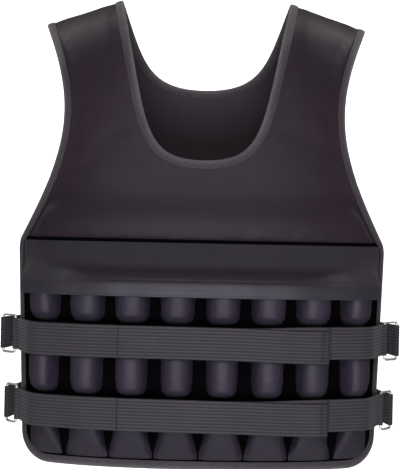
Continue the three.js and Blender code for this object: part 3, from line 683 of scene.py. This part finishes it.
# Edge tape, folded over a panel's edge: a soft U of tape, drawn in at its stitching.
tape = {
    "step": 4.0, "bulge": 0.35, "pucker": 0.16, "puckerPitch": 6.8, "puckerDrift": 41, "stitchIn": 1.7,
    "endThin": 0.27, "endLong": (34, 6),
}


def alongCloth(side, x, s, move):
    dx, ds, _ = formFrame(side, x, s)
    a, b, d = (dx * dx).sum(-1), (dx * ds).sum(-1), (ds * ds).sum(-1)
    p, q = (dx * move).sum(-1), (ds * move).sum(-1)
    scale = a * d - b * b
    return x + (p * d - q * b) / scale, np.minimum(s + (q * a - p * b) / scale, archLength)


def tapeLine(outline, kind):
    x, s = outline[kind]
    if kind == "neck":
        x, s = join([-x[:0:-1], x]), join([s[:0:-1], s])
    else:
        hem = np.linspace(-x[0], x[0], 60)[1:-1]
        x, s = join([-x[::-1], hem, x]), join([s[::-1], np.full(len(hem), s[0]), s])
    run = runAlong(np.column_stack([arcAt(x), s]))
    at = np.linspace(0, run[-1], int(run[-1] / tape["step"]))
    return np.interp(at, run, x), np.interp(at, run, s), at


def makeBinding(name, side, outline, kind, node):
    x, s, run = tapeLine(outline, kind)
    middle = skin(side, x, s, -wall / 2)
    along = np.gradient(middle, axis=0)
    along[[0, -1]] *= [0, 1, 0]
    out = formFrame(side, x, s)[2]
    outwards = unit(np.cross(along, out) * (1 if kind == "neck" else -1) * side["sign"])
    near = wall / 2 + sewnGap
    far = near + tapeWall
    tip = sewnGap + tapeWall
    # The tape's section: a distance outwards from the edge, off the mid wall, then its place across the tape.
    upper = [
        (-tapeWidth, far - 0.45), (-tapeWidth + 0.5, far), (-tapeWidth + tape["stitchIn"], far - 0.3),
        (-4.5, far + tape["bulge"]), (-2, far + tape["bulge"] * 0.6), (0.2, far - 0.1),
        (tip * 0.75, far - 0.9), (tip, near - 0.6),
    ]
    section = upper + [(tip + 0.1, 0)] + [(a, -b) for a, b in reversed(upper)]
    outside = len(section)
    under = [(-tapeWidth, near), (-4.5, near), (0, near), (sewnGap, near * 0.5)]
    section += [(a, -b) for a, b in under] + under[::-1]
    insetX, insetS = alongCloth(side, x, s, outwards * -tapeWidth)
    puckers = run / tape["puckerPitch"] * 2 * math.pi + 0.8 * np.sin(run / tape["puckerDrift"])
    ripple = np.sin(puckers) * tape["pucker"]
    # Near the shoulder seam the tape lies thinner and closer to the cloth.
    thin = smooth(s, *[archLength - off for off in tape["endLong"]])
    rings = []
    for number, (away, off) in enumerate(section):
        off = off * (1 - thin * tape["endThin"] * (1 if number < outside else 0.5))
        if away < 0:
            share = away / -tapeWidth
            reach = smooth(share, 0.2, 0.9) * (number < outside - 1)
            lift = off - wall / 2 + np.sign(off) * ripple * reach
            rings.append(skin(side, x + (insetX - x) * share, s + (insetS - s) * share, lift))
        else:
            rings.append(middle + outwards * away + out * off[:, None])
    grid = np.stack(rings, 1)
    rows, count = grid.shape[:2]
    last = (rows - 1) * count
    faces = tubeNet(rows, count) + [tuple(range(count))[::-1], tuple(range(last, last + count))]
    uv = np.stack(np.broadcast_arrays(run[:, None], np.linspace(0, 30, count)[None, :]), -1)
    # Painted highlight along the tape's folded rim, carried by the wear attribute: full past the panel's edge,
    # fading out 3.5 mm inside it.
    wearAndHighlight = np.tile([1 if away > 0 else max(0, 1 + away / 3.5) for away, off in section], rows)
    points = grid.reshape(-1, 3)
    piece = newMesh(name, points, signed(points, faces), uv.reshape(-1, 2), {"wearAndHighlight": wearAndHighlight})
    subdivided(piece)
    dressed(piece, "edgeTape", "edge_tape", node)
    flatWide, flatLong = 2 * (tapeWidth + near + tip / 2), float(runAlong(middle)[-1])
    share = 1 - tape["stitchIn"] / tapeWidth
    off = (far - 0.18) * (1 - thin * tape["endThin"])
    stitchX, stitchS = x + (insetX - x) * share, s + (insetS - s) * share
    return [skin(side, stitchX, stitchS, way * off - wall / 2) for way in (1, -1)]


bindingLines = {}
for sideName, side, outline in (("front", front, frontOutline), ("back", back, backOutline)):
    for kind in ("edge", "neck"):
        label = f"{sideName}_{kind}"
        bindingLines[label] = makeBinding(f"{label}_tape", side, outline, kind, f"{label}_binding")
for number, (label, lines) in enumerate(bindingLines.items()):
    stitched(f"{label}_tape_stitches", lines, "edge_tape", seed=number)
print("bindings made")

# The flap over the pocket tops.
flap = {
    "wall": 2.4, "seamLift": 1.1, "endLength": 25, "endRise": 0.05, "clear": 2, "columns": 150, "rows": 64,
    "wave": 0.9, "waveSize": 70, "hemRise": 0.5, "hemDepth": 20, "seams": (3.5, 20), "groove": 0.5,
    "grooveWide": 1.5, "drape": 0.35,
}
flapDown = [0, 0.3, 0.46, 0.6, 0.74, 1]
flapOut = [0, 0.05, 0.28, 0.72, 0.96, 1]
slackDown = [0, 0.1, 0.3, 0.46, 0.6, 0.74, 1]
slackOut = [0, 0.03, 0.12, 0.33, 0.72, 0.95, 1]
pocketDepth = 29
pocketWidth = 45
flapTable = softTable(slackDown, slackOut, 101)
flapHalf = sideHalf - tapeWidth - 2 * sewnGap
pitch = 2 * float(arcAt(vest["blockHalf"])) / 8


def flapLift(z, slack=False):
    down = np.clip((-flapDrop - z) / flapHeight, 0, 1)
    out = np.interp(down, np.linspace(0, 1, 101), flapTable) if slack else np.interp(down, flapDown, flapOut)
    return flap["seamLift"] + out * (pocketDepth + 2 * sewnGap - flap["seamLift"])


def flapLength():
    z = -flapDrop - 1 - np.linspace(0, 1, 200) * (flapHeight - 1)
    return float(runAlong(np.column_stack([z, flapLift(z, True)]))[-1])


def makeFlap():
    half = float(arcAt(flapHalf))
    arc = np.linspace(-half, half, flap["columns"])
    arcs, downs = [values.ravel() for values in np.meshgrid(arc, np.linspace(0, 1, flap["rows"]))]
    z = -flapDrop - 1 - downs * (flapHeight - 1)
    fromEnd = half - np.abs(arcs)
    ease = flap["endRise"] + (1 - flap["endRise"]) * smooth(fromEnd, 0, flap["endLength"])
    lift = flap["seamLift"] + (flapLift(z, True) - flap["seamLift"]) * ease
    x, s = acrossAt(arcs), z + archDrop
    between = np.cos(arcs / pitch * 2 * math.pi)
    drape = flap["drape"] * between * smooth(downs, 0.4, 0.9) * smooth(fromEnd, 10, 40)
    soft = unevenness(formPoint(front, x, s), flap["waveSize"], 5, (0.6, 0.6, 1.5))
    soft = soft * flap["wave"] * smooth(downs, 0.05, 0.3)
    hemAt = 1 - flap["hemDepth"] / flapHeight
    hem = flap["hemRise"] * smooth(downs, hemAt - 0.01, hemAt + 0.01)
    for depth in flap["seams"]:
        hem -= flap["groove"] * np.exp(-((((1 - downs) * flapHeight - depth) / flap["grooveWide"]) ** 2))
    edgeRound = 0.7 * (1 - smooth(1 - downs, 0, 0.03))
    inner = skin(front, x, s, lift + np.maximum(soft + drape, 0) * 0.6)
    outer = skin(front, x, s, lift + flap["wall"] - 0.4 + hem - edgeRound + soft + drape)
    wearAndHighlight = 0.8 * (1 - smooth(1 - downs, 0, 0.05)) + 0.5 * (1 - smooth(fromEnd, 0, 4))
    dull = np.maximum(1 - smooth(fromEnd, 40, 90), 0.9 - 0.9 * smooth(downs, 0.2, 0.6))
    net, values = gridNet(flap["rows"], flap["columns"]), {"wearAndHighlight": wearAndHighlight, "dull": dull}
    piece = clothWall("flap_cloth", outer, inner, net, np.column_stack([arcs, z]), values)
    dressed(piece, "flapCloth", "panel_cloth", "pocket_flap")
    flapLength() * 0.001
    grid = outer.reshape(flap["rows"], flap["columns"], 3)
    normal = formFrame(front, acrossAt(arc), 0.0)[2]
    lines = []
    for depth in flap["seams"]:
        at = (1 - depth / flapHeight) * (flap["rows"] - 1)
        low = int(at)
        row = grid[low] + (grid[low + 1] - grid[low]) * (at - low)
        lines.append((row + normal * 0.05)[3:-3])
    stitched("flap_stitches", lines, "panel_cloth", seed=11)


makeFlap()
print("flap made")

# The weight pockets: closed, filled cloth tubes, sewn flat to the panel along their backs. Wide and deep are
# shares of a pocket's size in the CAD, which the belts are led over. Full is the cloth's share of its width.
beltLevels = {"upper": -hemDrop + 68 + 89, "lower": -hemDrop + 68}
beltHalf = 20
tuck = 14
pocketRows = {
    "top": {
        "bottom": beltLevels["upper"] + beltHalf, "top": -flapDrop - flapHeight * 0.42, "power": 2.25,
        "up": [0, 0.05, 0.16, 0.36, 0.7, 0.85, 1], "wide": [0.6, 0.74, 0.86, 0.95, 1, 0.98, 0.9],
        "deep": [0.3, 0.62, 0.88, 1, 1, 0.8, 0.3], "full": [0.58, 0.8, 0.95, 1.0, 1.01, 1.0, 0.98],
    },
    "middle": {
        "bottom": beltLevels["lower"] + beltHalf, "top": beltLevels["upper"] - beltHalf + tuck, "power": 2.25,
        "up": [0, 0.06, 0.16, 0.38, 0.72, 1], "wide": [0.52, 0.68, 0.78, 0.84, 0.86, 0.84],
        "deep": [0.28, 0.6, 0.84, 0.98, 0.96, 0.8], "full": [0.5, 0.73, 0.86, 0.92, 0.93, 0.93],
    },
    "bottom": {
        "bottom": -hemDrop + tapeWidth + 2, "top": beltLevels["lower"] - beltHalf + tuck, "power": 2.6,
        "up": [0, 0.14, 0.4, 0.7, 1], "wide": [1.18, 1.16, 1.08, 0.96, 0.86],
        "deep": [0.1, 0.26, 0.5, 0.68, 0.72], "full": [1.25, 1.21, 1.1, 0.95, 0.88],
    },
}
pockets = {
    "bow": 34, "backSteps": 8, "rows": 26, "cap": 2.2, "pressure": 6.0, "slack": 0.03, "smaller": 0.8,
    "endSqueeze": 0.9, "endLong": 0.012, "outermost": 0.86,
}


def insideTape(z):
    down = -hemDrop + hemCorner - z
    if down < 0:
        return float(edgeAt(z)) - tapeWidth
    radius = hemCorner - tapeWidth
    return hemHalf - hemCorner + math.sqrt(radius**2 - min(down, radius) ** 2)


# One ring of a pocket at a share up its row: a bowed front and a flat back. Inset draws all of it inwards.
def pocketRing(row, up, column, bow, backSteps, inset=0.0, squeeze=1.0, widths="wide", power=2.5):
    z = row["bottom"] + (row["top"] - row["bottom"]) * up
    centre = (column - 3.5) * pitch
    narrow = pockets["outermost"] if column in (0, 7) else 1
    wide = pocketWidth * np.interp(up, row["up"], row[widths]) * narrow * squeeze
    half = min(wide, pitch - 2 * sewnGap) / 2 - inset
    limit = float(arcAt(insideTape(z) - 3 * sewnGap))
    lift = float(flapLift(z))
    room = lift - flap["clear"] if lift > flap["seamLift"] + 1e-6 else pocketDepth
    depth = min(pocketDepth * np.interp(up, row["up"], row["deep"]), room) * squeeze - inset
    angle = np.radians(np.linspace(-90, 90, bow))
    bowed = half * np.sign(np.sin(angle)) * np.abs(np.sin(angle)) ** (2 / power)
    aside = centre + join([bowed, np.linspace(half, -half, backSteps + 2)[1:-1]])
    lifts = sewnGap + join([depth * np.maximum(np.cos(angle), 0) ** (2 / power), np.zeros(backSteps)])
    points = skin(front, acrossAt(np.clip(aside, -limit, limit)), z + archDrop, lifts)
    return points, np.column_stack([aside, np.full(len(aside), z)])


def makePocket(rowName, column):
    row, bow, backSteps = pocketRows[rowName], pockets["bow"], pockets["backSteps"]
    count = bow + backSteps
    end = pockets["endLong"]
    ups = join([[0.0, end], np.linspace(0, 1, pockets["rows"])[1:-1], [1 - end, 1.0]])
    rows = len(ups)
    made = []
    for i, up in enumerate(ups):
        squeeze = pockets["endSqueeze"] if i in (0, rows - 1) else 1.0
        drawn = (pockets["smaller"], squeeze, "full", row["power"])
        made.append(pocketRing(row, float(up), column, bow, backSteps, *drawn))
    points, uv = [join(parts) for parts in zip(*made)]
    faces = tubeNet(rows, count)
    for end in (0, rows - 1):
        start = end * count
        ends = [(start + j, start + (j + 1) % count, len(points)) for j in range(count)]
        faces += ends if end else [face[::-1] for face in ends]
        points = join([points, points[start:start + count].mean(0)[None]])
        uv = join([uv, uv[start:start + count].mean(0)[None]])
    onBack = join([[1], np.zeros(bow - 2), np.ones(backSteps + 1)])
    seam = join([np.abs(np.linspace(-1, 1, bow)) ** 12, np.ones(backSteps)])
    values = {"wearAndHighlight": join([np.tile(seam, rows) * 0.3, [0, 0]])}
    piece = newMesh(f"pocket_{rowName}_{column + 1}", points, signed(points, faces), uv, values)
    return piece, join([np.tile(onBack, rows), [1, 1]]), pockets


places = [(rowName, column) for rowName in pocketRows for column in range(8)]
pocketJobs = [makePocket(*place) for place in places]
print("pockets made")

inflate(pocketJobs + [(frontPanel, frontHeld, panels), (backPanel, backHeld, panels)])
print("cloth simulated")
for (rowName, column), (piece, _, _) in zip(places, pocketJobs):
    # The bottom row gets the darker copy of the pocket cloth, as painted shade.
    cloth, fill = ("lowPocketCloth", 0.5) if rowName == "bottom" else ("pocketCloth", 0.85)
    subdivided(piece)
    dressed(piece, cloth, "pocket_cloth", f"weight_pocket_{rowName}_{column + 1}")
for piece, node in ((frontPanel, "front_panel"), (backPanel, "back_panel")):
    subdivided(piece)
    dressed(piece, "panelCloth", "panel_cloth", node)
    if piece is frontPanel:
        # Painted shade between the pockets and in the fold under the roll.
        paintShade(piece)
print("cloth dressed")

# Belts: ribbed elastic on edge along a line in plan. Sag is how far a long belt's end hangs, and rise how far
# a short one is lifted under it. Ends and folds say where on x the belts' layers end.
# One width gives how wide the painted shadow of a long belt's end is.
belt = {
    "step": 4.0, "fineStep": 0.4, "ribs": 10, "perRib": 6, "ribDepth": 0.34, "wander": 0.3, "wanderLong": 53,
    "dip": 0.4, "dipWide": 0.8, "endShadowWide": 1.6, "sag": 3.2, "sagFrom": 30, "rise": 1.6, "riseOver": (60, 150),
    "climb": (60, 20), "longEnd": 158, "longFold": 99, "shortEnd": 40, "shortFold": 196, "rearFold": 34,
    "rowPoints": 20, "rowInset": 1.5,
}
ring = {"wire": 3.4, "gap": 0.4, "width": 21, "play": 2.5, "corner": 4, "reach": 2, "lead": 24}
ringTurn = {"upper": 34, "lower": 46}
layer = beltWall + seamGap
firstLift = sewnGap + beltWall / 2
loopRadius = ring["wire"] / 2 + ring["gap"] + beltWall / 2
mirror = np.array([-1, 1])


def tautLine(points, sign):
    line = []
    for point in sorted(points, key=lambda p: (p[0], sign * p[1] * -1)):
        while len(line) > 1:
            (ax, ay), (bx, by) = line[-2:]
            if ((bx - ax) * (point[1] - ay) - (by - ay) * (point[0] - ax)) * sign < 0:
                break
            line.pop()
        line.append(tuple(point))
    return np.array(line)


# A line beside another, on the side away from the body. The lift is a number or a function of x.
def liftedLine(line, sign, lift):
    dense = [line[0]]
    for a, b in zip(line[:-1], line[1:]):
        parts = math.ceil(np.linalg.norm(b - a) / 20)
        dense.extend(a + (b - a) * k / parts for k in range(1, parts + 1))
    dense = np.array(dense)
    into = unit(np.diff(dense, axis=0))
    before = join([into[:1], into])
    along = unit(before + join([into, into[-1:]]))
    mitre = 1 / np.maximum((along * before).sum(1), 0.5)
    out = np.column_stack([along[:, 1], -along[:, 0]]) * -sign
    return dense + out * ((lift(dense[:, 0]) if callable(lift) else lift) * mitre)[:, None]


def cutAt(line, x):
    past = np.argmax(line[:, 0] > x)
    if past == 0:
        return line
    a, b = line[past - 1], line[past]
    return join([line[:past], [a + (b - a) * (x - a[0]) / (b[0] - a[0])]])


def roundBar(centre, radius, start, end, turn):
    def touch(point, way):
        away = point - centre
        return math.atan2(away[1], away[0]) + way * math.acos(min(radius / np.linalg.norm(away), 1))
    first, last = touch(start, turn), touch(end, -turn)
    while (last - first) * turn < 0:
        last += turn * 2 * math.pi
    while (last - first) * turn > 2 * math.pi:
        last -= turn * 2 * math.pi
    angles = np.linspace(first, last, 13)
    return centre + radius * np.column_stack([np.cos(angles), np.sin(angles)])


# A front belt's line: from its folded end under the belt to the ring's bar, round it, and back to its free
# end. Its outer layer starts where it has come down from the bar.
def loopedLine(wrapped, bar, foldEnd, lift, freeEnd):
    outer = cutAt(liftedLine(wrapped, -1, lift), freeEnd)
    outer = outer[np.linalg.norm(outer - bar, axis=1) > ring["lead"]]
    inner = cutAt(liftedLine(wrapped, -1, firstLift), foldEnd)
    return join([inner[::-1], roundBar(bar, loopRadius, inner[0], outer[0], -1), outer])


def boundEdge(side, level):
    edge = float(edgeAt(level + beltHalf))
    thick = sewnGap + tapeWall
    s = level + archDrop
    outermost = skin(side, edge, s, thick) + unit(formFrame(side, edge, s)[0]) * thick
    return [outermost[:2], skin(side, edge - tapeWidth, s, thick)[:2]]


def beltPlan(level, ringAngle):
    edgePoints = boundEdge(front, level)
    points = edgePoints + [p * mirror for p in edgePoints]
    for row in pocketRows.values():
        for up in row["up"]:
            if abs(row["bottom"] + (row["top"] - row["bottom"]) * up - level) <= beltHalf + tuck:
                for column in range(8):
                    points.extend(pocketRing(row, up, column, 9, 3)[0][:, :2])
    wrapped = tautLine(points, -1)
    along = unit(wrapped[-1] - wrapped[-2])
    out = np.array([along[1], -along[0]])
    frontBar = wrapped[-1] + along * ring["reach"] + out * (firstLift + loopRadius)
    turn = math.radians(ringAngle)
    rearBar = frontBar + np.array([math.cos(turn), math.sin(turn)]) * ring["width"]
    rearEdge = boundEdge(back, level)
    reach = float(edgeAt(level))
    rearPoints = [skin(back, x, level + archDrop)[:2] for x in np.linspace(-reach, reach, 21)]
    return wrapped, frontBar, rearBar, tautLine(rearPoints + rearEdge + [p * mirror for p in rearEdge], 1)


# A line with its corners eased, at even steps and with more points at its seams.
def eased(line, step, seams=()):
    for _ in range(2):
        a, b = line[:-1], line[1:]
        cut = np.stack([a * 0.75 + b * 0.25, a * 0.25 + b * 0.75], 1).reshape(-1, 2)
        line = join([line[:1], cut, line[-1:]])
    run = runAlong(line)
    at = np.linspace(0, run[-1], max(int(run[-1] / step), 4))
    near = [seam + off for seam in seams for off in (-1.6, -0.9, -0.45, 0, 0.45, 0.9, 1.6)]
    at = np.unique(np.clip(join([at, near]), 0, run[-1]).round(3))
    return pointAt(at, run, line).T, at


# A belt along its line. Seams are the places of its sewn rows. Where another belt's end lies on it, a shadow
# of that end is painted across its ribs.
def makeBand(name, line, level, node, seams, seed, drift=None, endShadowAt=None, cloth="elastic"):
    line, run = eased(line, belt["step"], list(seams) + ([endShadowAt] if endShadowAt else []))
    along = unit(np.gradient(line, axis=0))
    out = np.column_stack([-along[:, 1], along[:, 0]])
    count = belt["ribs"] * belt["perRib"] + 1
    share = np.linspace(0, 1, count)
    height = (share - 0.5) * 2 * beltHalf
    rib = np.abs(np.sin(share * belt["ribs"] * math.pi)) ** 0.7
    edge = smooth(np.minimum(share, 1 - share), 0, 0.03)
    thick = (beltWall / 2 - belt["ribDepth"] * (1 - rib)) * (0.6 + 0.4 * edge)
    seam = np.ones(len(run))
    for at in seams:
        seam -= belt["dip"] * np.exp(-(((run - at) / belt["dipWide"]) ** 2))
    drop = belt["wander"] * np.sin(run / belt["wanderLong"] + seed) + (drift(line[:, 0]) if drift else 0)
    sides = []
    for way in (1, -1):
        offset = thick[None, :] * seam[:, None] * way
        x, y = (line[:, i, None] + out[:, i, None] * offset for i in (0, 1))
        sides.append(np.stack([x, y, level + height[None, :] + drop[:, None]], -1).reshape(-1, 3))
    uv = np.stack(np.broadcast_arrays(run[:, None], height[None, :]), -1).reshape(-1, 2)
    shade = np.clip((seam - 0.6) / 0.4, 0, 1)
    # A painted shadow of the long belt's end, as a darker band across the ribs.
    if endShadowAt:
        shade = shade * (1 - np.exp(-(((run - endShadowAt) / belt["endShadowWide"]) ** 2)))
    # Rib values carry the painted shade of the grooves and the belt's edges, and the painted shadow of a belt's
    # end; seams are darker too.
    ribs = (shade[:, None] * (rib * edge)[None, :]).ravel()
    piece = clothWall(name, *sides, gridNet(len(line), count), uv, {"rib": ribs})
    dressed(piece, cloth, "elastic", node)
    lines = []
    high, count = beltHalf - belt["rowInset"], belt["rowPoints"]
    for at in seams:
        heights = np.linspace(-high, high, count) + level + np.interp(at, run, drop)
        for way in (1, -1):
            flat = pointAt(at, run, line) + pointAt(at, run, out) * way * (beltWall / 2 - 0.05)
            lines.append(np.column_stack([np.tile(flat, (count, 1)), heights]))
    stitched(name + "_stitches", lines, "elastic", 2.6, 1.9, 0.5, seed)


def makeRing(name, frontBar, rearBar, level, node):
    around, steps, corner = 18, 8, ring["corner"]
    radius = ring["wire"] / 2
    halfHigh = beltHalf + ring["play"] + radius
    middle, along = (frontBar + rearBar) / 2, rearBar - frontBar
    halfWide = np.linalg.norm(along) / 2
    along = along / (2 * halfWide)
    aside = np.array([-along[1], along[0]])
    points = []
    for cx, cz, start in ((1, 1, 0), (-1, 1, 90), (-1, -1, 180), (1, -1, 270)):
        for angle in np.radians(np.linspace(start, start + 90, steps)):
            c, s = math.cos(angle), math.sin(angle)
            u, v = cx * (halfWide - corner) + corner * c, cz * (halfHigh - corner) + corner * s
            for turn in np.linspace(0, 2 * math.pi, around, endpoint=False):
                grow, off = radius * math.cos(turn), radius * math.sin(turn)
                flat = middle + along * (u + grow * c) + aside * off
                points.append((flat[0], flat[1], level + v + grow * s))
    points = np.array(points)
    faces = tubeNet(4 * steps, around, closed=True)
    dressed(newMesh(name, points, signed(points, faces), points[:, :2]), "wire", "wire", node)


# Distance along a belt's line to where its later part passes x.
def seamAt(line, x):
    even, run = eased(line, belt["fineStep"])
    for i in np.argsort(np.abs(even[:, 0] - x)):
        if i > len(run) / 2:
            return float(run[i])
    return 0.0


def outerLift(x):
    climbed = smooth(x, *[belt["shortEnd"] - off for off in belt["climb"]])
    return firstLift + layer * (1 + climbed)


def longDrift(x):
    return -belt["sag"] * smooth(x, belt["sagFrom"], belt["longEnd"])


def shortDrift(x):
    return belt["rise"] * smooth(x, *belt["riseOver"])


def lineLength(line):
    return eased(line, belt["step"])[1][-1]


for seed, (beltName, level) in enumerate(beltLevels.items()):
    wrapped, frontBar, rearBar, rearWrapped = beltPlan(level, ringTurn[beltName])
    leftBar = frontBar * mirror
    line = loopedLine(wrapped, leftBar, -belt["longFold"], outerLift, belt["longEnd"])
    total = lineLength(line)
    seams = [2.5, seamAt(line, -belt["longFold"] - 1), total - 6, total - 9]
    makeBand(f"{beltName}_elastic_long", line, level, f"{beltName}_belt_long", seams, seed, longDrift)

    line = loopedLine(wrapped, leftBar, -belt["shortFold"], firstLift + layer, -belt["shortEnd"]) * mirror
    # Where the long belt's end lies on the short one, a shadow is painted.
    endShadowAt = seamAt(line, belt["longEnd"] + 0.6)
    makeBand(f"{beltName}_elastic_short", line, level, f"{beltName}_belt_short", [2.5], seed + 4,
             shortDrift, endShadowAt)

    cloth = liftedLine(rearWrapped, 1, firstLift)
    leftBar = rearBar * mirror
    along = unit(cloth[0] - leftBar)
    fold = leftBar + along * belt["rearFold"] + np.array([along[1], -along[0]]) * (layer - loopRadius / 2)
    half = join([[fold], roundBar(leftBar, loopRadius, fold, cloth[0], 1)])
    line = join([half, cloth, (half * mirror)[::-1]])
    seams = [3, lineLength(line) - 3]
    makeBand(f"{beltName}_webbing_rear", line, level, f"{beltName}_belt_rear", seams, seed + 8,
             cloth="webbing")
    for sideName, way in (("right", 1), ("left", mirror)):
        node = f"{beltName}_ring_{sideName}"
        makeRing(f"{beltName}_wire_{sideName}", frontBar * way, rearBar * way, level, node)
print("belts and rings made")

# Stage, lights and camera.
stage = {"low": -1.7, "front": -3.2, "turn": 1.6, "radius": 1.4, "half": 1.15, "high": 0.9}
white = (0.93, 0.93, 0.93)
floor, tree, shader = startMaterial("paleFloor")
paint = blended(tree, noiseAt(tree, placeAt(tree), 3, 2), grown(white, 0.985), grown(white, 1))
feed(tree, shader, {"Base Color": paint, "Roughness": 0.9})
profile = [(stage["front"], stage["low"]), (stage["turn"], stage["low"])]
for angle in np.radians(np.linspace(0, 90, 17))[1:]:
    rise = stage["radius"] * (1 - math.cos(angle))
    profile.append((stage["turn"] + stage["radius"] * math.sin(angle), stage["low"] + rise))
profile.append((stage["turn"] + stage["radius"], stage["high"]))
across = np.linspace(-stage["half"], stage["half"], 9)
points = np.array([(x * 1000, y * 1000, z * 1000) for y, z in profile for x in across])
sweep = newMesh("floor", points, gridNet(len(profile), len(across)))
sweep.data.materials.append(floor)

world = bpy.data.worlds.new("studio")
world.use_nodes = True
feed(world.node_tree, world.node_tree.nodes["Background"], {"Color": (1, 1, 1, 1), "Strength": 0.08})
bpy.context.scene.world = world

# Each light: its power, its place, the point that it faces, its size and its colour.
lights = {
    "key": (46, (0.0, -2.6, -1.0), (0, 0, -0.34), (1.2, 0.8), (0.82, 0.87, 1)),
    "fill": (17, (0.0, -2.3, 0.75), (0, 0.1, -0.2), (1.0, 0.7), (1, 0.93, 1)),
    "top": (1.5, (0.0, -0.9, 1.7), (0, 0, -0.3), (2.4, 1.2), (1, 1, 1)),
    "left": (1.5, (-2.4, -0.7, -0.1), (0, 0, -0.3), (1.0, 1.8), (1, 1, 1)),
    "right": (1.5, (2.4, -0.7, -0.1), (0, 0, -0.3), (1.0, 1.8), (1, 1, 1)),
    "backdropLeft": (95, (-1.3, 1.0, 1.6), (-0.4, 3.2, -0.2), (1.4, 1.4), (1, 1, 1)),
    "backdropRight": (95, (1.3, 1.0, 1.6), (0.4, 3.2, -0.2), (1.4, 1.4), (1, 1, 1)),
}
for name, (power, place, aim, size, colour) in lights.items():
    light = bpy.data.lights.new(name, "AREA")
    light.shape = "RECTANGLE"
    light.size, light.size_y = size
    light.energy = power
    light.color = colour
    lamp = linked(name, light)
    lamp.location = place
    lamp.rotation_euler = (Vector(aim) - Vector(place)).to_track_quat("-Z", "Y").to_euler()

view = bpy.data.cameras.new("photo")
view.lens = 94
view.sensor_width = 36
camera = linked("photo", view)
ahead = Vector((0, 1, 0)).to_track_quat("-Z", "Y").to_matrix().to_4x4()
tilt = Matrix.Rotation(math.radians(1.2), 4, "Z")
camera.matrix_world = Matrix.Translation((-0.0027, -1.63, -0.291)) @ ahead @ tilt
bpy.context.scene.camera = camera
bpy.context.scene.view_settings.view_transform = "Standard"
